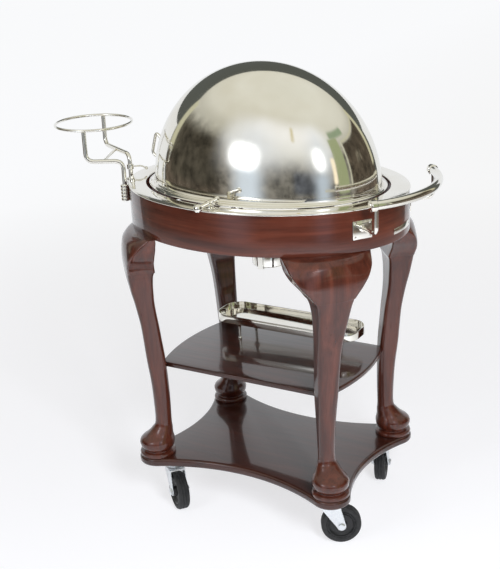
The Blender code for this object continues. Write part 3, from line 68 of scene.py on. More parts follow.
# Oval top, from the frame: its middle is where every place below is measured from
HOOP_LOW, HOOP_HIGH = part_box("apron_hoop")
CENTRE_X = ((HOOP_LOW + HOOP_HIGH) / 2).x
TOP_A = (HOOP_HIGH.x - HOOP_LOW.x) / 2
TOP_B = (HOOP_HIGH.y - HOOP_LOW.y) / 2
HOOP_WALL = 22 * MM
RIM_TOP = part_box("rim_plate")[1].z
RIM_THICKNESS = 4 * MM
RIM_OVERHANG = 2 * MM
OPENING_A = 318.5 * MM
OPENING_B = 242 * MM

# Dome
DOME_A = 301 * MM
DOME_B = 200 * MM
DOME_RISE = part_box("dome_shell")[1].z - RIM_TOP
DOME_WALL = 1.6 * MM
FLANGE_A = 311 * MM
FLANGE_B = 232 * MM
AXIS_HEIGHT = RIM_TOP + 13.5 * MM

# Legs and the boards between them
LEG_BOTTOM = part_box("leg_front_right")[0].z
FOOT_X = 255.2 * MM
FOOT_Y = 186.3 * MM
BOARD_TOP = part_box("lower_board")[1].z
SHELF_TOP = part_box("mid_shelf")[1].z
# The corners: the signs of their x and y from the middle, and their castor's heading in degrees
CORNERS = {"back_left": (-1, 1, 150.0), "back_right": (1, 1, 108.0),
           "front_left": (-1, -1, -38.0), "front_right": (1, -1, 31.0)}

OVAL_STEPS = 160
ROUND_STEPS = 64


def colour(code):
    """A hex sRGB colour as linear red, green, blue and alpha."""
    shares = [int(code[i:i + 2], 16) / 255 for i in (1, 3, 5)]
    return (*[s / 12.92 if s <= 0.04045 else ((s + 0.055) / 1.055) ** 2.4 for s in shares], 1.0)


def node(tree, kind, sockets=None, **settings):
    """Add a shader node, give it its settings, and set or join its sockets."""
    made = tree.nodes.new("ShaderNode" + kind)
    for name, value in settings.items():
        setattr(made, name, value)
    for name, value in (sockets or {}).items():
        if isinstance(value, bpy.types.NodeSocket):
            tree.links.new(value, made.inputs[name])
        else:
            made.inputs[name].default_value = value
    return made


def start_material(name, **shader_values):
    """A Principled material with its uniform values on the shader's own sockets."""
    made = bpy.data.materials.new(name)
    made.use_nodes = True
    tree = made.node_tree
    shader = tree.nodes["Principled BSDF"]
    for socket, value in shader_values.items():
        shader.inputs[socket.replace("_", " ")].default_value = value
    place = node(tree, "TexCoord").outputs["Object"]
    return made, tree, shader, place


def mm(rows):
    """Rows of lengths in millimetres, as metres."""
    return [tuple(number * MM for number in row) for row in rows]


def noise(tree, place, size, detail=3.0, rough=0.55, distortion=0.0):
    """Noise with spots of the given size in millimetres along each axis."""
    scaled = node(tree, "Mapping", {"Vector": place, "Scale": [1 / (s * MM) for s in size]})
    sockets = {"Vector": scaled.outputs["Vector"], "Scale": 1.0, "Detail": detail, "Roughness": rough,
               "Distortion": distortion}
    return node(tree, "TexNoise", sockets).outputs["Fac"]


def ramp(tree, value, stops):
    """Hex colours along a value."""
    made = node(tree, "ValToRGB", {"Fac": value})
    points = made.color_ramp.elements
    while len(points) < len(stops):
        points.new(0.5)
    for point, (where, tint) in zip(points, stops):
        point.position = where
        point.color = colour(tint)
    return made.outputs["Color"]


def spread(tree, value, low, high, lowest=0.0, highest=1.0, steps="LINEAR"):
    """A value taken from one range to another."""
    sockets = {"Value": value, "From Min": low, "From Max": high, "To Min": lowest, "To Max": highest}
    return node(tree, "MapRange", sockets, interpolation_type=steps).outputs["Result"]


def maths(tree, operation, *values):
    """One step of arithmetic between values and sockets."""
    return node(tree, "Math", dict(enumerate(values)), operation=operation).outputs["Value"]


def bump(tree, shader, height, strength, distance):
    """Let a height disturb the surface by at most the given distance."""
    made = node(tree, "Bump", {"Height": height, "Strength": strength, "Distance": distance})
    tree.links.new(made.outputs["Normal"], shader.inputs["Normal"])


def set_tint(tree, shader, value, *stops):
    """Let the base colour follow a value."""
    tree.links.new(ramp(tree, value, stops), shader.inputs["Base Color"])


def set_roughness(tree, shader, value, low, high, smooth, rough):
    """Let the roughness follow a value."""
    tree.links.new(spread(tree, value, low, high, smooth, rough), shader.inputs["Roughness"])


def mahogany(name, along, dark="#3a180f", mid="#4e2418", light="#602f20"):
    """French polished mahogany: dark red-brown ribbon figure under a clear gloss."""
    made, tree, shader, place = start_material(name, Roughness=0.32, Specular_IOR_Level=0.15, Coat_Weight=1.0,
                                               Coat_Roughness=0.065, Coat_IOR=1.5)
    fibre, figure = [4] * 3, [26] * 3
    for axis in along:
        fibre[axis], figure[axis] = 130, 260
    streaks = noise(tree, place, fibre, 4.0, 0.6, 0.3)
    ribbon = noise(tree, place, figure, 2.0, 0.5, 0.8)
    mixed = maths(tree, "ADD", maths(tree, "MULTIPLY", streaks, 0.32), maths(tree, "MULTIPLY", ribbon, 0.68))
    set_tint(tree, shader, mixed, (0.34, dark), (0.52, mid), (0.70, light))
    set_roughness(tree, shader, streaks, 0.3, 0.7, 0.27, 0.4)
    bump(tree, shader, streaks, 0.025, 0.2 * MM)
    return made


def silver_plate(name, wave=0.0):
    """Polished silver plate: warm white metal with faint rubbing marks, on a sheet that may wave."""
    made, tree, shader, place = start_material(name, Metallic=1.0)
    rubbed = noise(tree, place, (9, 9, 30), 4.0, 0.6)
    set_tint(tree, shader, noise(tree, place, (90, 90, 90), 2.0), (0.3, "#f3f1ea"), (0.75, "#ebe7dc"))
    set_roughness(tree, shader, rubbed, 0.35, 0.75, 0.05, 0.12)
    if wave:
        bump(tree, shader, noise(tree, place, (110, 110, 110), 1.0), 1.0, wave)
    return made


def zinc_plate():
    """Bright zinc-plated pressed steel, slightly milky, with a fine spangle."""
    made, tree, shader, place = start_material("zinc_plated_steel", Metallic=1.0)
    spangle = noise(tree, place, (3, 3, 3), 3.0)
    set_tint(tree, shader, spangle, (0.3, "#dfe3e6"), (0.7, "#f0f2f3"))
    set_roughness(tree, shader, spangle, 0.3, 0.7, 0.28, 0.42)
    return made


def black_rubber():
    """Moulded black rubber: matt, with grey dust worn into it."""
    made, tree, shader, place = start_material("black_rubber", Roughness=0.6, Specular_IOR_Level=0.4)
    dust = noise(tree, place, (14, 14, 14), 5.0, 0.7)
    set_tint(tree, shader, dust, (0.35, "#1a1a1b"), (0.75, "#343434"))
    set_roughness(tree, shader, dust, 0.3, 0.7, 0.5, 0.72)
    bump(tree, shader, noise(tree, place, (1.5, 1.5, 1.5), 2.0), 0.25, 0.2 * MM)
    return made


def wheel_plastic():
    """Moulded black wheel centre with a satin skin."""
    made, tree, shader, place = start_material("black_wheel_centre", Roughness=0.42)
    grain = noise(tree, place, (2, 2, 2), 2.0)
    set_tint(tree, shader, grain, (0.3, "#141415"), (0.7, "#232324"))
    bump(tree, shader, grain, 0.2, 0.1 * MM)
    return made


def maple_board():
    """Pale oiled maple: fine straight grain, barely glossy."""
    made, tree, shader, place = start_material("oiled_maple", Roughness=0.5)
    grain = noise(tree, place, (160, 3, 3), 4.0, 0.6, 0.4)
    set_tint(tree, shader, grain, (0.3, "#a97b48"), (0.7, "#c99c66"))
    bump(tree, shader, grain, 0.15, 0.2 * MM)
    return made


# The wood of the hoop, of the two boards and of the legs, by the way its grain runs
wood_level = mahogany("french_polished_mahogany_level", (0, 1))
wood_long = mahogany("french_polished_mahogany_long", (0,), "#2a140e", "#371a12", "#442117")
wood_upright = mahogany("french_polished_mahogany_upright", (2,), "#371810", "#492217", "#5a2c1e")
silver_dome = silver_plate("polished_silver_plate_dome", 0.12 * MM)
silver = silver_plate("polished_silver_plate")
zinc = zinc_plate()
rubber = black_rubber()
black_centre = wheel_plastic()
maple = maple_board()
SLOTS = {wood_level: "mahogany", wood_long: "mahogany", wood_upright: "mahogany", silver_dome: "silver_plate",
         silver: "silver_plate", zinc: "zinc_plate", rubber: "black_rubber", black_centre: "black_iron",
         maple: "board_wood"}


def add_object(name, data):
    """An object put in the scene."""
    made = bpy.data.objects.new(name, data)
    bpy.context.scene.collection.objects.link(made)
    return made


def join_frame(name, data, material, body, nodes):
    """A finished piece that rides on its body and stands for its frame nodes."""
    data.materials.append(material)
    piece = add_object(name, data)
    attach(piece, body)
    if nodes:
        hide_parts(*nodes)
    return piece


def mesh_from(name, bm):
    """A mesh made from a form, which is used up."""
    data = bpy.data.meshes.new(name)
    bm.to_mesh(data)
    bm.free()
    return data


def show(name, bm, material, body="stand", nodes=(), smooth=38.0, place=None):
    """A mesh piece, moved to its place from the trolley's centre line."""
    shift = Matrix.Translation((CENTRE_X, 0.0, 0.0))
    bmesh.ops.transform(bm, matrix=shift @ (place or Matrix.Identity(4)), verts=bm.verts)
    data = mesh_from(name, bm)
    data.shade_smooth()
    data.set_sharp_from_angle(angle=radians(smooth))
    return join_frame(name, data, material, body, nodes)


def turn_outwards(bm):
    """Let all faces of a form look out."""
    bmesh.ops.recalc_face_normals(bm, faces=bm.faces)


def lift(bm, verts, rise):
    """Move some corners of a form up or down."""
    bmesh.ops.translate(bm, vec=(0.0, 0.0, rise), verts=verts)


def four_corners(half_x, half_y):
    """The four places at plus and minus two half sizes."""
    return [(x, y) for x in (-half_x, half_x) for y in (-half_y, half_y)]


def at(x, y, z, turn=0.0):
    """A place from the centre line, turned about the vertical."""
    return Matrix.Translation((x, y, z)) @ Matrix.Rotation(turn, 4, "Z")


def laid(where, along):
    """A place whose own +Z points along a direction."""
    tilt = Vector((0.0, 0.0, 1.0)).rotation_difference(Vector(along)).to_matrix().to_4x4()
    return Matrix.Translation(where) @ tilt


def softened(points, radius, count=4, closed=False):
    """A path whose corners are eased over a radius."""
    spots = [Vector(p) for p in points]
    total = len(spots)
    eased = []
    for index, here in enumerate(spots):
        if not closed and index in (0, total - 1):
            eased.append(here)
            continue
        before, after = spots[index - 1], spots[(index + 1) % total]
        reach = min(radius, (before - here).length * 0.45, (after - here).length * 0.45)
        start = here + (before - here).normalized() * reach
        stop = here + (after - here).normalized() * reach
        for step in range(count + 1):
            share = step / count
            eased.append(start.lerp(here, share).lerp(here.lerp(stop, share), share))
    return eased


def spun(points, steps, ring=False):
    """A path spun about +Z."""
    bm = bmesh.new()
    verts = [bm.verts.new(p) for p in points]
    edges = [bm.edges.new(pair) for pair in zip(verts, verts[1:])]
    if ring:
        edges.append(bm.edges.new((verts[-1], verts[0])))
    bmesh.ops.spin(bm, geom=verts + edges, cent=(0, 0, 0), axis=(0, 0, 1), angle=2 * pi, steps=steps,
                   use_merge=True)
    bmesh.ops.remove_doubles(bm, verts=bm.verts, dist=0.01 * MM)
    turn_outwards(bm)
    return bm


def turned(profile, steps=ROUND_STEPS, ring=False, ease=0.5 * MM):
    """A turned form: a profile of (radius, height), eased at its corners and spun about +Z."""
    return spun(softened([(r, 0.0, h) for r, h in profile], ease, 3, ring), steps, ring)


def two_sided(half):
    """A profile that is alike above and below its middle."""
    return half + [(radius, -height) for radius, height in reversed(half)]


def ball_profile(radius, middle, first, last):
    """Part of a ball's profile, between two angles in twelfths of a half turn."""
    angles = [pi * k / 12 for k in range(first, last - 1, -1)]
    return [(radius * sin(a), middle - radius * cos(a)) for a in angles]


def ovals(rings, closed=True, ease=0.8 * MM, steps=OVAL_STEPS):
    """An oval form through rings of (half length, half width, height)."""
    path = softened(rings, ease, 3, closed)
    bm = bmesh.new()
    made = bmesh.ops.create_circle(bm, cap_ends=False, segments=steps, radius=1.0)
    bmesh.ops.scale(bm, vec=(path[0].x, path[0].y, 1.0), verts=made["verts"])
    lift(bm, made["verts"], path[0].z)
    first = list({e for v in made["verts"] for e in v.link_edges})
    edge = first
    for before, here in zip(path, path[1:]):
        edge = next_ring(bm, edge, before, here)
    if closed:
        bmesh.ops.bridge_loops(bm, edges=first + edge)
        turn_outwards(bm)
    return bm


def verts_in(made):
    """The corners among what an operator made."""
    return [item for item in made["geom"] if isinstance(item, bmesh.types.BMVert)]


def next_ring(bm, edge, before, here):
    """Grow an oval edge loop to the next ring."""
    grown = bmesh.ops.extrude_edge_only(bm, edges=edge)
    verts = verts_in(grown)
    bmesh.ops.scale(bm, vec=(here[0] / before[0], here[1] / before[1], 1.0), verts=verts)
    lift(bm, verts, here[2] - before[2])
    return [item for item in grown["geom"] if isinstance(item, bmesh.types.BMEdge)]


def level_edges(bm, within):
    """A form's edges that stay at one height."""
    return [e for e in bm.edges if abs(e.verts[0].co.z - e.verts[1].co.z) < within]


def round_edges(bm, edges, radius, segments=3):
    """Round off some edges of a form."""
    bmesh.ops.bevel(bm, geom=edges, offset=radius, segments=segments, affect="EDGES", profile=0.5,
                    clamp_overlap=True, material=-1)


def plate(outline, low, thickness, edge=0.0, segments=3):
    """A flat form raised from an outline, with its top and bottom edges rounded."""
    bm = bmesh.new()
    floor = bm.faces.new([bm.verts.new((x, y, low)) for x, y in outline])
    grown = bmesh.ops.extrude_face_region(bm, geom=[floor])
    lift(bm, verts_in(grown), thickness)
    turn_outwards(bm)
    if edge:
        round_edges(bm, level_edges(bm, thickness / 2), edge, segments)
    return bm


def block(low, high, edge=0.4 * MM):
    """A block between two corners with eased edges."""
    bm = bmesh.new()
    bmesh.ops.create_cube(bm, size=1.0)
    low, high = Vector(low), Vector(high)
    bmesh.ops.scale(bm, vec=high - low, verts=bm.verts)
    bmesh.ops.translate(bm, vec=(low + high) / 2, verts=bm.verts)
    round_edges(bm, bm.edges[:], edge)
    return bm


def add_to(bm, other, place=None):
    """Put a second form into a first one."""
    if place:
        bmesh.ops.transform(other, matrix=place, verts=other.verts)
    carrier = mesh_from("carrier", other)
    bm.from_mesh(carrier)
    bpy.data.meshes.remove(carrier)
    return bm


def bar(name, points, radius, material, body="stand", nodes=(), closed=False):
    """A round bar or tube bent along a path, as a curve with filled ends."""
    data = bpy.data.curves.new(name, "CURVE")
    data.dimensions = "3D"
    data.bevel_depth = radius
    data.bevel_resolution = 6
    data.use_fill_caps = not closed
    spline = data.splines.new("POLY")
    spline.points.add(len(points) - 1)
    for point, spot in zip(spline.points, points):
        point.co = (spot[0] + CENTRE_X, spot[1], spot[2], 1.0)
    spline.use_cyclic_u = closed
    return join_frame(name, data, material, body, nodes)


def screw_head(radius, rise):
    """A countersunk screw's raised head with its slot."""
    bm = turned([(0.0, rise), (radius * 0.55, rise * 0.9), (radius, 0.0), (radius, -rise), (0.0, -rise)], 24)
    slot = [f for f in bm.faces if f.calc_center_median().z > rise * 0.6
            and abs(f.calc_center_median().y) < radius * 0.16]
    lift(bm, list({v for f in slot for v in f.verts}), -rise * 0.6)
    return bm


def oval_frame(angle, offset):
    """Point outside the hoop at an oval angle, with its outward and sideways directions."""
    spot = Vector((TOP_A * cos(angle), TOP_B * sin(angle), 0.0))
    out = Vector((cos(angle) / TOP_A, sin(angle) / TOP_B, 0.0)).normalized()
    return spot + out * offset, out, Vector((-out.y, out.x, 0.0))


def arc(middle, radius, start, end, count):
    """Points along an arc in plan, both ends included."""
    angles = [start + (end - start) * step / count for step in range(count + 1)]
    return [(middle[0] + radius * cos(a), middle[1] + radius * sin(a)) for a in angles]


def four_fold(quarter):
    """An outline with two mirror planes, from its quarter at +X +Y, anticlockwise."""
    upper = quarter + [(-x, y) for x, y in reversed(quarter)]
    whole = upper + [(-x, -y) for x, y in upper]
    kept = []
    for point in whole:
        if not kept or hypot(point[0] - kept[-1][0], point[1] - kept[-1][1]) > 0.1 * MM:
            kept.append(point)
    if hypot(kept[0][0] - kept[-1][0], kept[0][1] - kept[-1][1]) <= 0.1 * MM:
        kept.pop()
    return kept


def oval_points(half_a, half_b, count=96):
    """Points round an oval in plan."""
    turns = [2 * pi * k / count for k in range(count)]
    return [(half_a * cos(turn), half_b * sin(turn)) for turn in turns]


def make_top():
    """Veneered hoop and the plated rim on it."""
    low, high = HOOP_LOW.z, HOOP_HIGH.z
    inner_a, inner_b = TOP_A - HOOP_WALL, TOP_B - HOOP_WALL
    hoop_edge, rim_edge = 2.2 * MM, 1.8 * MM
    hoop = ovals([(TOP_A, TOP_B, high), (TOP_A, TOP_B, low), (inner_a, inner_b, low),
                  (inner_a, inner_b, high)], ease=hoop_edge)
    show("veneered_hoop", hoop, wood_level, nodes=["apron_hoop"])
    under = RIM_TOP - RIM_THICKNESS
    rim_a, rim_b = TOP_A + RIM_OVERHANG, TOP_B + RIM_OVERHANG
    rim = ovals([(OPENING_A, OPENING_B, RIM_TOP), (rim_a, rim_b, RIM_TOP), (rim_a, rim_b, under),
                 (OPENING_A, OPENING_B, under)], ease=rim_edge)
    show("rim", rim, silver, nodes=["rim_plate"])


# Moulding round the dome's foot in mm: steps out along and across the oval, and height over the rim
FOOT_MOULDING = [(0.6, 1, 4.6), (1, 3, 2.4), (2.4, 7, 1.3), (3, 8, 2.4), (4, 10, 2.4), (4.6, 11, 0.6)]
FOOT_RISE = 6 * MM
# Where the dome's handle meets it, over the rim
GRIP_LOW, GRIP_HIGH = 23 * MM, 70 * MM
GRIP_FOOT = [(0, 2.4), (6, 2.2), (9, 0.8), (9, -1), (0, -1)]


def dome_half_length(rise):
    """Half length of the dome at a height above the rim."""
    return DOME_A * sqrt(1 - (rise / DOME_RISE) ** 2)


def make_dome():
    """Dome raised from one sheet, with its foot's moulding, flat flange, pivot lugs and handle."""
    count = 64
    start = asin(FOOT_RISE / DOME_RISE)
    angles = [start + (pi / 2 - start) * step / count for step in range(count + 1)]
    bm = spun([(cos(angle), 0.0, DOME_RISE * sin(angle)) for angle in angles], OVAL_STEPS)
    bmesh.ops.scale(bm, vec=(DOME_A, DOME_B, 1.0), verts=bm.verts)
    foot = (DOME_A * cos(start), DOME_B * cos(start), FOOT_RISE)
    moulding = [(foot[0] + along, foot[1] + across, rise) for along, across, rise in mm(FOOT_MOULDING)]
    path = softened([foot] + moulding + [(FLANGE_A, FLANGE_B, moulding[-1][2])], 1.2 * MM, 3)
    edge = [e for e in bm.edges if e.is_boundary]
    for before, here in zip(path, path[1:]):
        edge = next_ring(bm, edge, before, here)
    turn_outwards(bm)
    if max(bm.faces, key=lambda f: f.calc_center_median().z).normal.z < 0:
        bmesh.ops.reverse_faces(bm, faces=bm.faces)
    shell = show("roll_dome", bm, silver_dome, "dome", ["dome_shell"], 30.0, at(0.0, 0.0, RIM_TOP))
    wall = shell.modifiers.new("Wall", "SOLIDIFY")
    wall.thickness = DOME_WALL
    wall.offset = -1.0
    half_long, half_wide, ease = 4.5 * MM, 3 * MM, 0.8 * MM
    lug_top, lug_y = AXIS_HEIGHT - RIM_TOP - 1 * MM, FLANGE_B - 4 * MM
    for sign, end in ENDS:
        lug = block((-half_long, -half_wide, ease), (half_long, half_wide, lug_top), ease)
        spot = at(0.0, sign * lug_y, RIM_TOP)
        show("dome_lug_" + end, lug, silver_dome, "dome", [], place=spot)
    low, high = -dome_half_length(GRIP_LOW), -dome_half_length(GRIP_HIGH)
    corners = [(low, GRIP_LOW), (low - 37 * MM, 43 * MM), (high - 28 * MM, 100 * MM), (high, GRIP_HIGH)]
    path = softened([(x, 0.0, RIM_TOP + z) for x, z in corners], 12 * MM, 8)
    bar("dome_grip", path, 4 * MM, silver, "dome", ["dome_handle"])
    for rise, x in ((GRIP_LOW, low), (GRIP_HIGH, high)):
        out = Vector((x / DOME_A ** 2, 0.0, rise / DOME_RISE ** 2)).normalized()
        show("grip_foot_%d" % round(rise / MM), turned(mm(GRIP_FOOT), 40), silver, "dome",
             place=laid((x, 0.0, RIM_TOP + rise), out))


def make_trunnions():
    """Turned shafts with a ball outside and a knob at the dome, in their bearing blocks."""
    middle, half_wide = (OPENING_B + TOP_B) / 2, 10 * MM
    inner, neck = FLANGE_B - 2 * MM, 301.4 * MM
    ball, knob, rod = 10.4 * MM, 7.4 * MM, 5.6 * MM
    foot = RIM_TOP + 0.3 * MM
    base_top = foot + 2 * MM
    for sign, end in ENDS:
        way = (0.0, sign, 0.0)
        profile = ball_profile(ball, neck + ball * 0.9, 12, 3)
        profile += [(rod, neck - 1 * MM), (rod, inner + 5.5 * MM)]
        profile += ball_profile(knob, inner, 8, 0)
        show("trunnion_" + end, turned(profile, 48, ease=0.2 * MM), silver, nodes=["trunnion_shaft_" + end],
             place=laid((0.0, 0.0, AXIS_HEIGHT), way))
        low, high = sorted((sign * (middle - half_wide), sign * (middle + half_wide)))
        bearing = block((-13 * MM, low, foot), (13 * MM, high, base_top), 0.8 * MM)
        step, half_neck, neck_top = 2 * MM, 5 * MM, AXIS_HEIGHT - 5.4 * MM
        add_to(bearing, block((-half_neck, low + step, foot + 1 * MM), (half_neck, high - step, neck_top)))
        boss = turned(two_sided(mm([(5.3, -10), (6.6, -10)])), 48, True, 0.5 * MM)
        add_to(bearing, boss, laid((0.0, sign * middle, AXIS_HEIGHT), way))
        for x in (-9 * MM, 9 * MM):
            add_to(bearing, screw_head(2.2 * MM, 0.7 * MM), at(x, sign * middle, base_top))
        show("bearing_" + end, bearing, silver, nodes=["trunnion_bearing_" + end])


# Pan and its frame: half sizes, then the pan's wall in mm as steps in from them and heights over the
# frame's top, down its inside and up its outside, with the two rings round its drain between them
PAN_A, PAN_B = 262 * MM, 160 * MM
PAN_INSIDE = [(0, 1.5), (7, 1.5), (19, -58), (25, -58.8)]
PAN_OUTSIDE = [(23, -60), (19, -56), (8.2, 0.3), (0, 0.3)]
PAN_CENTRE = [(8, 5, -58.8), (8, 5, -60)]
# Turned pieces as radius and height in mm, pot and lid from the cover, drum and post from their foot
POT_PROFILE = [(0, -53.6), (43.6, -53.6), (43.6, 1.7), (50, 1.7), (50, 0.3), (45, 0.3), (45, -55), (0, -55)]
LID_PROFILE = [(0, 30), (5, 29.4), (7, 25), (3.2, 19), (4.2, 14.5), (25, 12), (40, 6.5), (50, 3.4), (50, 2),
               (0, 2)]
DRUM_PROFILE = [(0, 9), (10, 9), (10, 49), (17, 49), (17, 40.5), (35, 40), (42, 35), (42, 3), (40.5, 1),
                (38, 0), (0, 0)]
POST_PROFILE = [(0, 45), (8, 45), (8, 41), (5.5, 38), (4, 35), (3.4, 6), (4.6, 3), (5, 0), (0, 0)]


def pan_rings(rows, top):
    """Rings of the pan from steps in and heights."""
    return [(PAN_A - inset, PAN_B - inset, top + rise) for inset, rise in mm(rows)]


def make_pan():
    """Pan frame with its ears, and the water pan with its drain plug."""
    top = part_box("pan_frame")[1].z
    low, band = top - 14 * MM, 6 * MM
    hoop = ovals([(PAN_A, PAN_B, top), (PAN_A, PAN_B, low), (PAN_A - band, PAN_B - band, low),
                  (PAN_A - band, PAN_B - band, top)])
    for sign in (-1, 1):
        inner, outer = sorted((sign * (PAN_B - 3 * MM), sign * (PAN_B + 12 * MM)))
        add_to(hoop, block((-10 * MM, inner, low), (10 * MM, outer, top), 1 * MM))
    show("pan_carrier", hoop, silver, nodes=["pan_frame"])
    centre = [(a, b, top + rise) for a, b, rise in mm(PAN_CENTRE)]
    pan = ovals(pan_rings(PAN_INSIDE, top) + centre + pan_rings(PAN_OUTSIDE, top), ease=3 * MM)
    plug_radius, plug_depth = 9 * MM, 1.6 * MM
    plug = bmesh.ops.create_cone(pan, cap_ends=True, segments=48, radius1=plug_radius, radius2=plug_radius,
                                 depth=plug_depth)
    lift(pan, plug["verts"], top - 59.3 * MM)
    show("hot_water_pan", pan, silver, "pan", ["water_pan"])


def make_servers():
    """Gravy pots with lids and the carving board with its groove, on the pan's cover."""
    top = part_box("pan_cover")[1].z
    pot_x, pot_y, board_x, board_a, board_b = 150 * MM, 56 * MM, -68 * MM, 150 * MM, 118 * MM
    for sign, end in ENDS:
        spot = at(pot_x, sign * pot_y, top)
        show("sauce_pot_" + end, turned(mm(POT_PROFILE), ease=2 * MM), silver, "pot_" + end,
             ["gravy_pot_" + end], place=spot)
        show("sauce_lid_" + end, turned(mm(LID_PROFILE), ease=2.4 * MM), silver, "lid_" + end,
             ["gravy_lid_" + end], place=spot)
    outline = [(x + board_x, y) for x, y in oval_points(board_a, board_b)]
    board = plate(outline, top + 0.3 * MM, 15 * MM, 3 * MM, 4)
    groove = max(board.faces, key=lambda f: f.calc_center_median().z * f.calc_area())
    for inset, drop in mm([(12, 0), (3, -2.5), (3, 2.5)]):
        bmesh.ops.inset_region(board, faces=[groove], thickness=inset, depth=0.0)
        lift(board, groove.verts[:], drop)
    show("maple_carving_board", board, maple, "board", ["carving_board"])


def make_burner():
    """Spirit burner's drum with its neck."""
    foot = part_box("burner_drum")[0].z
    drum = turned(mm(DRUM_PROFILE), ease=1.6 * MM)
    show("spirit_burner", drum, silver, "burner", ["burner_drum"], place=at(0.0, 0.0, foot))


# Leg from its foot up. Disc: height and radius in mm. Pad above it: height as a share of the pad's,
# radius as a share of its widest, and how far its middle has gone back to the ankle's
DISC_PROFILE = [(0, 45), (0.8, 46.4), (3, 46.9), (7.4, 46.9), (9.6, 46), (10.8, 43.6), (11.4, 39.4),
                (12.4, 37.4), (13.6, 37.2)]
PAD_HEIGHT = 76.8 * MM
PAD_RADIUS = 46.2 * MM
PAD_SHARES = [(0.006, 0.818, 0.00), (0.035, 0.860, 0.00), (0.085, 0.917, 0.00), (0.150, 0.966, 0.00),
              (0.225, 0.995, 0.00), (0.300, 1.000, 0.01), (0.380, 0.962, 0.06), (0.460, 0.880, 0.18),
              (0.565, 0.745, 0.43), (0.750, 0.592, 0.78)]
ANKLE_BACK = 20 * MM
LEG_FACING = radians(39)
# Shaft and then knee in mm, from the foot's middle: height over the floor, half width, how far out
# the middle of the front, the front of the two ends and the back stand, the shift along the hoop,
# and the corner radius
SHAFT_ROWS = [
    (245, 21.5, 1.5, 1.5, -41.5, 0, 21.5), (300, 21.8, 1.7, 1.7, -41.7, 0, 19.5),
    (361, 23.2, 5, 5, -40, 0, 16), (421, 25.8, 11.6, 11.2, -36.4, 0, 13),
    (476, 27.8, 16.2, 14.6, -30.5, -0.6, 12), (518, 29.5, 20.4, 17.5, -26, -1.5, 11),
    (552, 31.5, 26.4, 22.5, -21.5, -2.5, 10), (584, 34.5, 32.7, 28, -18.5, -4, 9.5),
    (610, 37, 39, 33.5, -18, -5.5, 9), (630, 39.5, 43, 36.5, -18, -6.5, 8),
    (650, 43, 47, 39, -19, -7, 7), (660, 46, 48.5, 40, -20.5, -7, 6),
    (667, 48.2, 49.5, 40.5, -23, -7, 5)]
KNEE_ROWS = [
    (668, 51, 50, 41, -24.5, -7, 5), (672, 54, 50.3, 41.5, -24.5, -7, 5),
    (680, 59.5, 51.3, 42.5, -23.5, -7, 5), (691, 68, 52.3, 43.5, -22.5, -6.5, 4.5),
    (702, 77, 52.8, 42, -22, -6, 4), (713, 86, 52.8, 39, -23, -6, 4),
    (724, 93, 52.3, 34.5, -24, -6, 4), (735, 99, 51, 27.5, -25.5, -6.5, 3.5),
    (743, 102.5, 49.5, 20, -26.5, -7, 3.5), (752, 105, 47, 10.5, -27, -7.5, 3),
    (760, 107.5, 41, 1, -28, -8, 3), (766, 109, 33, -6, -28, -9, 3),
    (770, 110, 15, -11, -28, -9, 3)]
# Hollow of the two ends of the knee
COVE = 2.4 * MM
FRONT_POINTS, END_POINTS = 16, 8
CORNER_POINTS = 5


def eased_between(rows, per_gap=5):
    """Rows of numbers with smooth rows put between them."""
    smooth = []
    for index in range(len(rows) - 1):
        p0, p1 = rows[max(index - 1, 0)], rows[index]
        p2, p3 = rows[index + 1], rows[min(index + 2, len(rows) - 1)]
        for step in range(per_gap):
            t = step / per_gap
            smooth.append([0.5 * (2 * b + (c - a) * t + (2 * a - 5 * b + 4 * c - d) * t ** 2
                                  + (3 * b - a - 3 * c + d) * t ** 3) for a, b, c, d in zip(p0, p1, p2, p3)])
    return smooth + [list(rows[-1])]


def leg_section(depth, width, corner):
    """Points round a section with round corners: its own outward way first, then sideways."""
    points = []
    centres = [(1, 1), (-1, 1), (-1, -1), (1, -1)]
    for index, (sx, sy) in enumerate(centres):
        middle = (sx * (depth - corner), sy * (width - corner))
        turn = pi / 2 * index
        points += arc(middle, corner, turn, turn + pi / 2, CORNER_POINTS)
        ahead = centres[(index + 1) % 4]
        last = points[-1]
        goal = (ahead[0] * (depth - corner) + corner * cos(turn + pi / 2),
                ahead[1] * (width - corner) + corner * sin(turn + pi / 2))
        many = FRONT_POINTS if index % 2 else END_POINTS
        for step in range(1, many):
            share = step / many
            points.append((last[0] + (goal[0] - last[0]) * share, last[1] + (goal[1] - last[1]) * share))
    return points


def over_foot(rows):
    """Rows of a leg in mm over the floor, as metres over its foot."""
    return [[row[0] * MM - LEG_BOTTOM] + [number * MM for number in row[1:]] for row in rows]


def leg_rows():
    """All rows of a leg from its foot up, and how many lie under the knee."""
    rows = [(height, radius, radius, radius, -radius, 0.0, radius) for height, radius in mm(DISC_PROFILE)]
    neck = rows[-1][0]
    upper = []
    for share, wide, back in PAD_SHARES:
        middle, radius = -ANKLE_BACK * back, PAD_RADIUS * wide
        front = middle + radius
        upper.append((neck + share * PAD_HEIGHT, radius, front, front, middle - radius, 0.0, radius))
    rows += eased_between(upper + over_foot(SHAFT_ROWS))
    return rows + eased_between(over_foot(KNEE_ROWS), 3), len(rows)


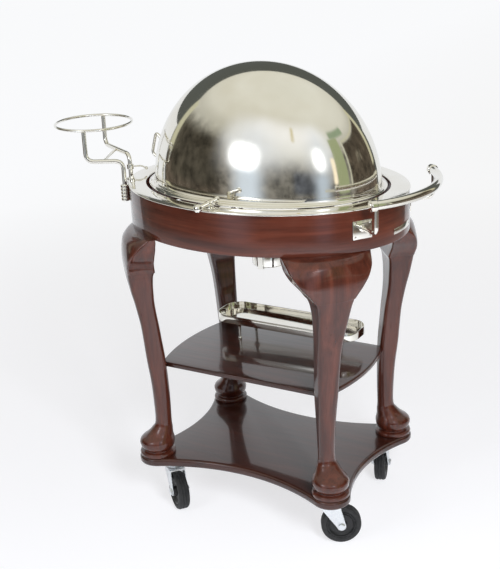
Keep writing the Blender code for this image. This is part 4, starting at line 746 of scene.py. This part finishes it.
def make_legs():
    """Cabriole legs: turned pad foot, squared shaft, knee with its carved ears."""
    rows, under_knee = leg_rows()
    out = Vector((cos(LEG_FACING), sin(LEG_FACING)))
    side = Vector((-out.y, out.x))
    for name, (side_x, side_y, _) in CORNERS.items():
        bm = bmesh.new()
        before = None
        for index, (height, width, front, ends, back, shift, corner) in enumerate(rows):
            middle, depth = (ends + back) / 2, (ends - back) / 2
            grown = max(0.0, min(1.0, (index - under_knee) / 6))
            cove = COVE * grown * min(1.0, depth / (20 * MM))
            ring = []
            for along, over in leg_section(depth, width, min(corner, depth, width)):
                roundness = max(0.0, 1 - (over / width) ** 2) ** 0.8
                bulge = (front - ends) * roundness * min(1.0, max(0.0, along / depth))
                if abs(over) > width - 0.1 * MM:
                    over -= copysign(cove * cos(pi / 2 * along / depth) ** 0.7, over)
                spot = out * (middle + along + bulge) + side * (shift + over)
                ring.append(bm.verts.new((side_x * spot.x, side_y * spot.y, height)))
            loop = [bm.edges.new((ring[i - 1], ring[i])) for i in range(len(ring))]
            if before:
                bmesh.ops.bridge_loops(bm, edges=before + loop)
            else:
                bm.faces.new(ring)
            before = loop
        bm.faces.new(ring)
        bmesh.ops.remove_doubles(bm, verts=bm.verts, dist=0.001 * MM)
        turn_outwards(bm)
        show("cabriole_" + name, bm, wood_upright, nodes=["leg_" + name], smooth=42.0,
             place=at(side_x * FOOT_X, side_y * FOOT_Y, LEG_BOTTOM))


def make_shelves():
    """Lower board with hollow sides and round ears, and the bowed middle shelf."""
    half_a, half_b, ear = 262 * MM, 172 * MM, 48.5 * MM
    gap_y, gap_x = half_b - FOOT_Y, half_a - FOOT_X
    side_bow = (FOOT_X ** 2 + gap_y ** 2 - ear ** 2) / (2 * (ear - gap_y))
    end_bow = (FOOT_Y ** 2 + gap_x ** 2 - ear ** 2) / (2 * (ear - gap_x))
    end_centre, side_centre = (half_a + end_bow, 0.0), (0.0, half_b + side_bow)
    end_turn = atan2(FOOT_Y, FOOT_X - end_centre[0])
    side_turn = atan2(FOOT_Y - side_centre[1], FOOT_X)
    quarter = arc(end_centre, end_bow, pi, end_turn, 16)[:-1]
    quarter += arc((FOOT_X, FOOT_Y), ear, end_turn - pi, side_turn + pi, 30)
    quarter += arc(side_centre, side_bow, side_turn, -pi / 2, 20)[1:]
    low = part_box("lower_board")[0].z
    board = plate(four_fold(quarter), low, BOARD_TOP - low, 8 * MM, 6)
    show("bottom_board", board, wood_long, nodes=["lower_board"])
    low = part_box("mid_shelf")[0].z
    half_a, half_b, cut, rise = 263.5 * MM, 164 * MM, 16 * MM, 21.5 * MM
    half = half_b - cut
    bow = (half ** 2 + rise ** 2) / (2 * rise)
    quarter = arc((half_a - bow, 0.0), bow, 0.0, atan2(half, bow - rise), 20)
    quarter.append((half_a - rise - cut, half_b))
    shelf = plate(four_fold(quarter), low, SHELF_TOP - low, 3.6 * MM, 5)
    show("bowed_shelf", shelf, wood_long, nodes=["mid_shelf"])


def make_gallery():
    """Bottle tray: a band wall round a polished floor, on four turned posts."""
    low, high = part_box("bottle_gallery")
    half_a, half_b = (high.x - low.x) / 2, (high.y - low.y) / 2
    corner, wall, floor = 45 * MM, 2 * MM, 2 * MM
    base = low.z + 44 * MM
    outline = four_fold(arc((half_a - corner, half_b - corner), corner, 0.0, pi / 2, 18))
    tray = plate(outline, base, high.z - base)
    top = max(tray.faces, key=lambda f: f.calc_center_median().z * (f.normal.z > 0.5))
    bmesh.ops.inset_region(tray, faces=[top], thickness=wall, depth=0.0)
    grown = bmesh.ops.extrude_face_region(tray, geom=[top])
    bmesh.ops.delete(tray, geom=[top], context="FACES_ONLY")
    lift(tray, verts_in(grown), base + floor - high.z)
    round_edges(tray, level_edges(tray, floor / 2), 0.8 * MM)
    for x, y in four_corners(half_a - 76 * MM, half_b - 14 * MM):
        add_to(tray, turned(mm(POST_PROFILE), 40, ease=0.8 * MM), at(x, y, low.z))
    show("gallery_tray", tray, silver, nodes=["bottle_gallery"], place=at(0.0, (low.y + high.y) / 2, 0.0))


def socket_profile(radius, bore, height):
    """A socket's bore, then its ribs from the top down."""
    groove, floor, ribs = radius * 0.86, 3 * MM, 5
    profile = [(0.0, floor), (bore, floor), (bore, height)]
    for index in range(ribs, 0, -1):
        top = height * index / ribs
        profile += [(groove, top), (radius, top - 1.6 * MM), (radius, top - 6.4 * MM)]
    return profile + [(groove, 0.0), (0.0, 0.0)]


def make_plate_holder():
    """Ribbed sockets on the hoop, bent tubes, ring, crossbar and catch."""
    socket, bore, tube, gap = 11.5 * MM, 6.1 * MM, 5.8 * MM, 0.3 * MM
    socket_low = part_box("holder_socket_front")[0].z
    ring_low, ring_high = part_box("plate_ring")
    run_height, reach_out, shift, ring_radius = 922 * MM, 91 * MM, -56 * MM, 98.5 * MM
    heading, half_apart = radians(197.5), 36 * MM
    base, out, side = oval_frame(heading, socket + gap)
    ends = []
    for sign, end in ((-1, "back"), (1, "front")):
        spot = base + side * sign * half_apart
        foot = oval_frame(atan2(spot.y / TOP_B, spot.x / TOP_A), socket + gap)[0]
        form = turned(socket_profile(socket, bore, 42 * MM), 48, ease=0.6 * MM)
        show("ribbed_socket_" + end, form, silver, nodes=["holder_socket_" + end],
             place=at(foot.x, foot.y, socket_low))
        reach = base + out * reach_out + side * (shift + sign * ring_radius)
        corners = [(foot.x, foot.y, socket_low + 3.3 * MM), (foot.x, foot.y, run_height),
                   (reach.x, reach.y, run_height), (reach.x, reach.y, ring_low.z - gap)]
        bar("holder_leg_" + end, softened(corners, 22 * MM, 10), tube, silver, "plate_holder",
            ["holder_tube_" + end])
        ends.append((foot, reach))
    middle = base + out * reach_out + side * shift
    ring_height = (ring_low.z + ring_high.z) / 2
    ring = [(middle.x + x, middle.y + y, ring_height) for x, y in oval_points(ring_radius, ring_radius)]
    bar("plate_hoop", ring, 3.4 * MM, silver, "plate_holder", ["plate_ring"], closed=True)
    rod_out = 49 * MM
    stop, start = [foot.lerp(reach, rod_out / reach_out) for foot, reach in ends]
    inset = (stop - start).normalized() * 4.5 * MM
    bar("cross_rod", [(*(start + inset).xy, run_height), (*(stop - inset).xy, run_height)], 3.8 * MM, silver,
        "plate_holder", ["holder_crossbar"])
    make_catch(ends[0][0], out)


def make_catch(foot, out):
    """The catch's collar on the back tube, with its curved arm and ball."""
    height, ball = 890 * MM, 4.2 * MM
    clamp = turned(two_sided(mm([(6.1, 6), (9.1, 6)])), 40, True)
    show("catch_collar", clamp, silver, "plate_holder", ["holder_catch"], place=at(foot.x, foot.y, height))
    start, tip = foot - out * 8 * MM, foot - out * 42 * MM
    path = [(start.x, start.y, height), (*start.lerp(tip, 0.6).xy, height + ball / 2),
            (tip.x, tip.y, height - ball)]
    bar("catch_arm", softened(path, 10 * MM, 8), 2 * MM, silver, "plate_holder")
    form = bmesh.new()
    bmesh.ops.create_uvsphere(form, u_segments=32, v_segments=20, radius=ball)
    show("catch_ball", form, silver, "plate_holder", place=at(tip.x, tip.y, height - ball))


# Handle's end cap and its strut's flange, turned, in mm
CAP_PROFILE = [(0, 8.6), (9.36, 8.4), (10.14, 7.6), (12.22, 7.8), (13, 5.6), (13, -6.4), (10.8, -8)]
STRUT_FLANGE = [(0, 3.5), (6, 3), (9, 1), (9, -0.5), (0, -0.5)]


def make_push_handle():
    """Bowed tube with turned caps, and curled struts on square plates."""
    height, tip, half_span, end_x, tube = 893 * MM, 435 * MM, 166 * MM, 374 * MM, 10.8 * MM
    rise = tip - end_x
    bow = (half_span ** 2 + rise ** 2) / (2 * rise)
    middle = tip - bow
    open_angle = atan2(half_span, bow - rise)
    path = [(x, y, height) for x, y in arc((middle, 0.0), bow, -open_angle, open_angle, 64)]
    bar("bowed_handle", path, tube, silver, nodes=["push_handle"])
    wide, tall, thick, bracket_angle = 50 * MM, 44 * MM, 3 * MM, radians(28)
    plate_height, strut_height = 822 * MM, 826 * MM
    ahead = (1.0, 0.0, 0.0)
    for sign, end in ENDS:
        away = Vector((-sin(open_angle), sign * cos(open_angle), 0.0))
        stop = Vector((middle + bow * cos(open_angle), sign * bow * sin(open_angle), height))
        show("handle_cap_" + end, turned(mm(CAP_PROFILE), 56, ease=0.5 * MM), silver,
             place=laid(stop + away * 6.5 * MM, away))
        foot, out, _ = oval_frame(sign * bracket_angle, 0.3 * MM)
        bracket = block((0.0, -wide / 2, -tall / 2), (thick, wide / 2, tall / 2), 0.9 * MM)
        for y, z in four_corners(19 * MM, 16 * MM):
            add_to(bracket, screw_head(3 * MM, 1 * MM), laid((thick, y, z), ahead))
        add_to(bracket, turned(mm(STRUT_FLANGE), 40), laid((thick, 0.0, strut_height - plate_height), ahead))
        show("bracket_plate_" + end, bracket, silver, nodes=["handle_bracket_" + end],
             place=at(foot.x, foot.y, plate_height, atan2(out.y, out.x)))
        start = foot + out * 1.5 * MM
        corners = [(start.x, start.y, strut_height), (stop.x, stop.y, strut_height),
                   (stop.x, stop.y, height - tube)]
        bar("curled_strut_" + end, softened(corners, 18 * MM, 10), 4.8 * MM, silver)


def make_end_plate():
    """Bare plate bent round the end of the hoop, with a screw at each end."""
    half_angle, half_steps = asin(42 * MM / TOP_B), 12
    back, front, low, tall = 0.3 * MM, 1.8 * MM, 788 * MM, 14 * MM
    outline = []
    for offset, order in ((back, 1), (front, -1)):
        for step in range(2 * half_steps + 1):
            spot = oval_frame(order * half_angle * (step / half_steps - 1), offset)[0]
            outline.append((spot.x, spot.y))
    bare = plate(outline, low, tall, 0.5 * MM, 2)
    for sign in (-1, 1):
        spot, out, _ = oval_frame(sign * half_angle * 0.9, front)
        add_to(bare, screw_head(1.8 * MM, 0.5 * MM), laid((spot.x, spot.y, low + tall / 2), out))
    show("bare_end_plate", bare, silver, nodes=["end_plate"])


# Castor. The tread just meets the floor, so its radius is the axle's height; the axle trails the
# swivel. Turned pieces are in mm, and two of them are the half over their middle
TREAD = 50.365
AXLE_HEIGHT = TREAD * MM
WHEEL_RADIUS = 50.8 * MM
SWIVEL_X, SWIVEL_Y = 228 * MM, 160 * MM
TRAIL = 36 * MM
SHEET = 3 * MM
FORK_HALF_GAP = 18.3 * MM
BOLT_PROFILE = [(0, 0.5), (6, 0.5), (6, -2.6), (4.4, -4), (0, -4)]
AXLE_HEAD = [(0, 5), (8, 5), (9.5, 3.6), (9.5, 0), (6, 0)]
WHEEL_HALF = [(6.4, 18), (11, 18), (13, 16), (14, 8), (27, 6.5), (31, 9), (33, 13), (35.8, 13.4)]
TYRE_HALF = [(36.1, 12.5), (39, 15), (43, 15), (48, 13.6), (TREAD, 9.4), (TREAD, 5.4), (48.8, 4.6),
             (48.8, 3.4), (TREAD, 2.6)]


def castor_top(low, high):
    """A castor's plate on its race, with four bolt heads."""
    under, half, bolt = high - SHEET, 30 * MM, 23 * MM
    top = block((-half, -half, under), (half, half, high), 1 * MM)
    race = [(0.0, under + 1 * MM), (23 * MM, under + 1 * MM), (23.6 * MM, (under + low) / 2), (22 * MM, low),
            (0.0, low)]
    add_to(top, turned(race, 48, ease=1.2 * MM))
    for x, y in four_corners(bolt, bolt):
        add_to(top, turned(mm(BOLT_PROFILE), 6, ease=0.3 * MM), at(x, y, under))
    return top


def pressed_fork(crown):
    """Two cheeks with round eyes for the axle, under a crown with the race's lower half."""
    top, half_wide = crown + SHEET, FORK_HALF_GAP + SHEET
    back, front = -19 * MM, 33 * MM
    eye = arc((TRAIL, AXLE_HEIGHT), 11.5 * MM, -pi * 0.92, pi * 0.03, 24)
    fork = None
    for start in (FORK_HALF_GAP, -half_wide):
        cheek = plate([(back, top)] + eye + [(front, top)], start, SHEET, 0.9 * MM, 3)
        bmesh.ops.transform(cheek, matrix=Matrix.Rotation(pi / 2, 4, "X"), verts=cheek.verts)
        fork = add_to(fork, cheek) if fork else cheek
    add_to(fork, block((back, -half_wide, crown), (front, half_wide, top), 1.2 * MM))
    head, low = crown + 10 * MM, crown + SHEET / 2
    race = [(0.0, head), (19 * MM, head), (20 * MM, head - 2.5 * MM), (20 * MM, top), (22 * MM, low),
            (0.0, low)]
    return add_to(fork, turned(race, 48, ease=1.2 * MM))


def make_castor(name, side_x, side_y, heading):
    """Swivel castor: plate and race, pressed fork, axle bolt, wheel centre and ribbed tyre."""
    swivel = Vector((side_x * SWIVEL_X, side_y * SWIVEL_Y, 0.0))
    turn = radians(heading)
    low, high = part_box("castor_plate_" + name)
    show("castor_top_" + name, castor_top(low.z, high.z), zinc, nodes=["castor_plate_" + name],
         place=at(swivel.x, swivel.y, 0.0))
    fork = pressed_fork(AXLE_HEIGHT + WHEEL_RADIUS + 5.5 * MM)
    show("pressed_fork_" + name, fork, zinc, "castor_" + name, ["castor_fork_" + name],
         place=at(swivel.x, swivel.y, 0.0, turn))
    axle = swivel + Vector((cos(turn), sin(turn), 0.0)) * TRAIL
    axle.z = AXLE_HEIGHT
    place = laid(axle, (-sin(turn), cos(turn), 0.0))
    face = FORK_HALF_GAP + SHEET + 0.3 * MM
    bolt = turned(two_sided([(r, face + h) for r, h in mm(AXLE_HEAD)]), 6, ease=0.3 * MM)
    show("axle_bolt_" + name, bolt, zinc, "castor_" + name, ["castor_axle_" + name], smooth=25.0, place=place)
    centre = turned(two_sided(mm(WHEEL_HALF)), ring=True, ease=1.6 * MM)
    show("wheel_centre_" + name, centre, black_centre, "wheel_" + name, ["castor_wheel_" + name], place=place)
    tyre = turned(two_sided(mm(TYRE_HALF)), 96, ring=True, ease=1.1 * MM)
    show("ribbed_tyre_" + name, tyre, rubber, "wheel_" + name, ["castor_tyre_" + name], place=place)


# The photograph's camera: its turn to the right of the trolley's front, its rise and its roll
CAMERA_BEARING, CAMERA_RISE, CAMERA_ROLL = radians(31.16), radians(19.71), radians(-2.72)


def direction(azimuth, elevation):
    """A way out from the trolley, turned to the right of its front and raised."""
    return Vector((sin(azimuth) * cos(elevation), -cos(azimuth) * cos(elevation), sin(elevation)))


def axes_at(right, up, back, spot):
    """The matrix of a thing at a spot, from its own three axes."""
    return Matrix([(right[i], up[i], back[i], spot[i]) for i in range(3)] + [(0, 0, 0, 1)])


def put_camera():
    """The photograph's viewpoint: a short telephoto from the front right, a little above."""
    target = Vector((CENTRE_X - 0.0438, -0.0265, 0.6023))
    distance, pixels_wide, focal_pixels = 3.035, 500, 1190.7
    back = direction(CAMERA_BEARING, CAMERA_RISE)
    right = Vector((cos(CAMERA_BEARING), sin(CAMERA_BEARING), 0.0))
    right = right * cos(CAMERA_ROLL) + back.cross(right) * sin(CAMERA_ROLL)
    data = bpy.data.cameras.new("camera")
    data.sensor_fit = "HORIZONTAL"
    data.sensor_width = 36.0
    data.lens = focal_pixels * data.sensor_width / pixels_wide
    camera = add_object("camera", data)
    camera.matrix_world = axes_at(right, back.cross(right), back, target + back * distance)
    bpy.context.scene.camera = camera


def stage_sheet(name, place, bm, material):
    """A sheet of the studio that only gloss sees."""
    data = mesh_from(name, bm)
    data.materials.append(material)
    sheet = add_object(name, data)
    sheet.matrix_world = place
    sheet.visible_camera = sheet.visible_diffuse = sheet.visible_shadow = False


def emptied_material(name):
    """A material and its node tree, with no nodes yet."""
    made = bpy.data.materials.new(name)
    made.use_nodes = True
    made.node_tree.nodes.clear()
    return made, made.node_tree


def mix_shaders(tree, share, first, second):
    """One shader faded into another."""
    return node(tree, "MixShader", {0: share, 1: first, 2: second}).outputs["Shader"]


def lit_cloth(name, tint, strength, width, height, soft):
    """Cloth or paper lit evenly, fading to nothing towards its edges."""
    made, tree = emptied_material(name)
    place = node(tree, "TexCoord").outputs["Object"]
    parts = node(tree, "SeparateXYZ", {"Vector": place})
    inside = 1.0
    for axis, size in (("X", width), ("Y", height)):
        edge = spread(tree, maths(tree, "ABSOLUTE", parts.outputs[axis]), size / 2, size / 2 - soft,
                      steps="SMOOTHSTEP")
        inside = maths(tree, "MULTIPLY", edge, inside)
    glow = node(tree, "Emission", {"Color": colour(tint), "Strength": strength}).outputs["Emission"]
    through = node(tree, "BsdfTransparent").outputs["BSDF"]
    both = mix_shaders(tree, maths(tree, "POWER", inside, 1.8), through, glow)
    node(tree, "OutputMaterial", {"Surface": both})
    return made


# How much larger than its lamp a soft box's cloth is, as gloss sees it, and how bright
CLOTH_SHARE = 1.5
CLOTH_STRENGTH = 6.0


def soft_box(name, azimuth, elevation, distance, width, height, power, tint):
    """A studio soft box at a direction from the dome, facing it: its lamp, and the cloth gloss sees."""
    data = bpy.data.lights.new(name, "AREA")
    data.shape = "RECTANGLE"
    data.size = width
    data.size_y = height
    data.energy = power
    data.color = colour(tint)[:3]
    lamp = add_object(name, data)
    way = direction(azimuth, elevation)
    right = Vector((0.0, 0.0, 1.0)).cross(way).normalized()
    spot = Vector((CENTRE_X, 0.0, RIM_TOP)) + way * distance
    lamp.matrix_world = axes_at(right, way.cross(right), way, spot)
    lamp.visible_camera = lamp.visible_glossy = False
    wide, tall = width * CLOTH_SHARE, height * CLOTH_SHARE
    bm = bmesh.new()
    shape = Matrix.Diagonal((wide, tall, 1.0, 1.0))
    bmesh.ops.create_grid(bm, x_segments=1, y_segments=1, size=0.5, matrix=shape)
    cloth = lit_cloth(name + "_cloth", tint, CLOTH_STRENGTH, wide, tall, tall * 0.5)
    stage_sheet(name + "_face", lamp.matrix_world, bm, cloth)


def make_paper_sweep():
    """White paper curved round behind the trolley, which the polished top and boards mirror."""
    behind, high, fall, half_turn, steps = 1.3, 1.37, 0.12, radians(62), 32
    bm = bmesh.new()
    turns = [-half_turn + 2 * half_turn * step / steps for step in range(steps + 1)]
    foot = [bm.verts.new((behind * sin(turn), -high / 2, behind * cos(turn))) for turn in turns]
    edges = [bm.edges.new(pair) for pair in zip(foot, foot[1:])]
    for corner in verts_in(bmesh.ops.extrude_edge_only(bm, edges=edges)):
        corner.co.y = high / 2 - fall * (corner.co.x / behind) ** 2
    right = Vector((cos(CAMERA_BEARING), sin(CAMERA_BEARING), 0.0))
    place = axes_at(right, (0.0, 0.0, 1.0), -direction(CAMERA_BEARING, 0.0), (CENTRE_X, 0.0, high / 2))
    stage_sheet("paper_sweep", place, bm, lit_cloth("lit_paper", "#e8eaed", 1.07, behind * 2, high, 0.03))


# What the polished metal mirrors in the studio, as seen from the trolley: bearing from straight
# behind it (right positive) and elevation of a patch's middle, its half sizes and soft edge, all
# in degrees, then its colour and strength. First the dim parts of the room, which are mottled
CLUTTERED_PATCHES = [
    (180, 2, 70, 24, 14, "#6c6a65", 1.0), (-128, 4, 24, 24, 16, "#85817a", 1.0),
    (-90, 6, 32, 22, 12, "#423e36", 1.0),
    (92, 12, 30, 18, 2, "#4a433a", 1.0), (178, 0, 16, 12, 6, "#4d5056", 1.0),
    (97, 14, 8, 5, 3, "#6a6458", 1.0)]
# Then the plain ones: haze round the soft boxes, their glow and their shine on the floor, a cream
# upright, a green door frame with its head and pale edge, a lamp, two pale rails, and pale strips
# beside the paper sweep
PLAIN_PATCHES = [
    (-166, 29, 62, 26, 22, "#eff0ee", 1.0), (-170, 37, 46, 17, 17, "#ffffff", 1.0),
    (-136, 22, 34, 30, 30, "#eef3fb", 1.0),
    (161, 22, 24, 30, 24, "#eaf0f8", 1.0), (-135, -8, 16, 26, 14, "#dce8f6", 1.0),
    (163, -8, 13, 22, 12, "#c3d0df", 1.0),
    (-172, 38, 3, 8, 3, "#dcd2ae", 1.0), (124, 38, 17, 4.5, 3, "#93a388", 1.0),
    (136, 13, 9, 23, 2, "#a2ab86", 1.0), (123, 12, 1.6, 19, 1, "#d4d4c0", 1.0),
    (147, 9, 4, 12, 3, "#f6ead0", 1.3), (92, 30.5, 30, 1.2, 0.8, "#c9c6ae", 1.0),
    (100, -6, 62, 1.4, 0.8, "#c8c5b4", 1.0), (60, 16, 5, 18, 2, "#cbc8ac", 1.0),
    (-60, 16, 5, 15, 2, "#c8c6ac", 1.0)]
# The dark gap over the paper sweep is an arch: half its width, its crown and its shoulders
GAP_HALF_WIDTH = radians(58)
GAP_CROWN = radians(55)
GAP_SHOULDER = radians(31)
# Room's base colours for gloss, from low to high, between two elevations
ROOM_LOW, ROOM_HIGH = radians(-30), radians(90)
ROOM_COLOURS = [(0.0, "#7d7266"), (0.18, "#5b5148"), (0.28, "#4a4640"), (0.40, "#6f6c63"), (0.50, "#bfbdb1"),
                (0.58, "#dbd9cd"), (0.75, "#e6e5da"), (1.0, "#e2e1d5")]
FLOOR_REACH = 60.0
PAPER_EDGE = 2.1


def lay_patches(tree, shade, patches, bearing, height):
    """Soft-edged patches of the room laid over its colour."""
    for azimuth, elevation, half_wide, half_high, soft, tint, strength in patches:
        inside = 1.0
        for value, middle, half in ((bearing, azimuth, half_wide), (height, elevation, half_high)):
            wrapped = maths(tree, "WRAP", maths(tree, "SUBTRACT", value, radians(middle)), pi, -pi)
            fade_end = radians(max(half - soft, 0.0))
            edge = spread(tree, maths(tree, "ABSOLUTE", wrapped), radians(half), fade_end)
            inside = maths(tree, "MULTIPLY", edge, inside)
        smooth = spread(tree, inside, 0.0, 1.0, steps="SMOOTHSTEP")
        lit = [channel * strength for channel in colour(tint)[:3]] + [1.0]
        shade = mix_colour(tree, smooth, shade, lit)
    return shade


def mottle(tree, shade, way, height):
    """Clutter in the low part of the room: its colour made darker and lighter in spots."""
    clutter = node(tree, "TexNoise", {"Vector": way, "Scale": 7.0, "Detail": 6.0, "Roughness": 0.72})
    spots = maths(tree, "SUBTRACT", spread(tree, clutter.outputs["Fac"], 0.38, 0.66, 0.6, 2.1), 1.0)
    low = spread(tree, height, radians(16), radians(32), 1.0, 0.0)
    amount = maths(tree, "ADD", maths(tree, "MULTIPLY", spots, low), 1.0)
    return node(tree, "VectorMath", {0: shade, "Scale": amount}, operation="SCALE").outputs["Vector"]


def lay_gap(tree, shade, bearing, height):
    """The dark gap over the paper sweep, an arch that falls to its shoulders."""
    within = spread(tree, maths(tree, "ABSOLUTE", bearing), GAP_HALF_WIDTH, GAP_HALF_WIDTH - radians(2.5))
    fall = maths(tree, "POWER", maths(tree, "DIVIDE", bearing, GAP_HALF_WIDTH), 2.0)
    crown = maths(tree, "SUBTRACT", GAP_CROWN, maths(tree, "MULTIPLY", fall, GAP_CROWN - GAP_SHOULDER))
    under = spread(tree, maths(tree, "SUBTRACT", crown, height), 0.0, radians(2))
    return mix_colour(tree, maths(tree, "MULTIPLY", within, under), shade, colour("#595c58"))


def backdrop(tree, tint, strength=1.0):
    """Light from all round in one colour."""
    return node(tree, "Background", {"Color": tint, "Strength": strength}).outputs["Background"]


def make_room():
    """White sweep for the camera; for gloss, a dim room with a cream ceiling and green door frame."""
    world = bpy.data.worlds.new("studio")
    world.use_nodes = True
    bpy.context.scene.world = world
    tree = world.node_tree
    tree.nodes.clear()
    way = node(tree, "TexCoord").outputs["Generated"]
    way = node(tree, "VectorRotate", {"Vector": way, "Angle": -CAMERA_BEARING},
               rotation_type="Z_AXIS").outputs["Vector"]
    parts = node(tree, "SeparateXYZ", {"Vector": way})
    bearing = maths(tree, "ARCTAN2", parts.outputs["X"], parts.outputs["Y"])
    height = maths(tree, "ARCSINE", parts.outputs["Z"])
    shade = ramp(tree, spread(tree, height, ROOM_LOW, ROOM_HIGH), ROOM_COLOURS)
    shade = lay_patches(tree, shade, CLUTTERED_PATCHES, bearing, height)
    shade = mottle(tree, shade, way, height)
    shade = lay_patches(tree, shade, PLAIN_PATCHES, bearing, height)
    shade = lay_gap(tree, shade, bearing, height)
    path = node(tree, "LightPath")
    mirrored = maths(tree, "MAXIMUM", path.outputs["Is Glossy Ray"], path.outputs["Is Transmission Ray"])
    both = mix_shaders(tree, mirrored, backdrop(tree, colour("#e4e2dd"), 0.32), backdrop(tree, shade))
    both = mix_shaders(tree, path.outputs["Is Camera Ray"], both, backdrop(tree, colour("#f3f4f6")))
    node(tree, "OutputWorld", {"Surface": both})


def mix_colour(tree, share, first, second):
    """One colour laid over another."""
    return node(tree, "Mix", {0: share, 6: first, 7: second}, data_type="RGBA").outputs[2]


def make_floor():
    """Pale paper floor that keeps the trolley's shadow, its glow carrying painted light and shade; gloss sees
    a dim floor past its edge.
    """
    bm = bmesh.new()
    bmesh.ops.create_circle(bm, cap_ends=True, segments=96, radius=FLOOR_REACH)
    bmesh.ops.translate(bm, vec=(CENTRE_X, 0.0, cad_box[0][2]), verts=bm.verts)
    floor = add_object("paper_floor", mesh_from("paper_floor", bm))
    paper, tree = emptied_material("white_paper")
    place = node(tree, "TexCoord").outputs["Object"]
    far = node(tree, "VectorMath", {0: place}, operation="LENGTH").outputs["Value"]
    seen = node(tree, "LightPath").outputs["Is Camera Ray"]
    beyond = maths(tree, "MULTIPLY", spread(tree, far, PAPER_EDGE, PAPER_EDGE * 1.3),
                   maths(tree, "SUBTRACT", 1.0, seen))
    across = node(tree, "SeparateXYZ", {"Vector": place}).outputs["X"]
    # Painted shade: the floor's glow turns greyer and warmer towards +X, as if that side of the paper got
    # less light
    sweep = mix_colour(tree, spread(tree, across, -3.0, 3.5), colour("#eeeff1"), colour("#dfdedc"))
    # Painted light: the glow is dimmer near the trolley and rises with distance, making up for the lamps'
    # light falling off away from it
    painted_floor_light = mix_colour(tree, spread(tree, far, 0.6, 3.2), colour("#d8d8da"), sweep)
    glow = mix_colour(tree, seen, colour("#9b9c9e"), painted_floor_light)
    tint = mix_colour(tree, seen, colour("#ececee"), colour("#a4a4a5"))
    paper_face = node(tree, "BsdfDiffuse", {"Color": tint}).outputs["BSDF"]
    shine = node(tree, "Emission", {"Color": glow, "Strength": 1.0}).outputs["Emission"]
    both = node(tree, "AddShader", {0: paper_face, 1: shine}).outputs["Shader"]
    through = node(tree, "BsdfTransparent").outputs["BSDF"]
    node(tree, "OutputMaterial", {"Surface": mix_shaders(tree, beyond, both, through)})
    floor.data.materials.append(paper)


def dress_left_over():
    """Give every frame node that still shows its finish."""
    finishes = {slot: material for material, slot in SLOTS.items()}
    finishes["burner_brass"] = silver
    slots = {row["node"]: row["material_slot"] for row in frame["record"]["subparts"]}
    for name, shown in frame["nodes"].items():
        shown.data.materials.clear()
        shown.data.materials.append(finishes[slots[name]])


dress_left_over()
make_top()
make_dome()
make_trunnions()
make_pan()
make_servers()
make_burner()
make_legs()
make_shelves()
make_gallery()
make_plate_holder()
make_push_handle()
make_end_plate()
for corner, (corner_x, corner_y, corner_heading) in CORNERS.items():
    make_castor(corner, corner_x, corner_y, corner_heading)
put_camera()
make_room()
make_floor()
make_paper_sweep()
soft_box("key_left", radians(-15), radians(16), 2.4, 0.92, 0.80, 15.0, "#f4f8ff")
soft_box("key_right", radians(49), radians(19), 2.4, 0.62, 0.80, 62.0, "#f6f9ff")
bpy.context.scene.view_settings.view_transform = "Standard"
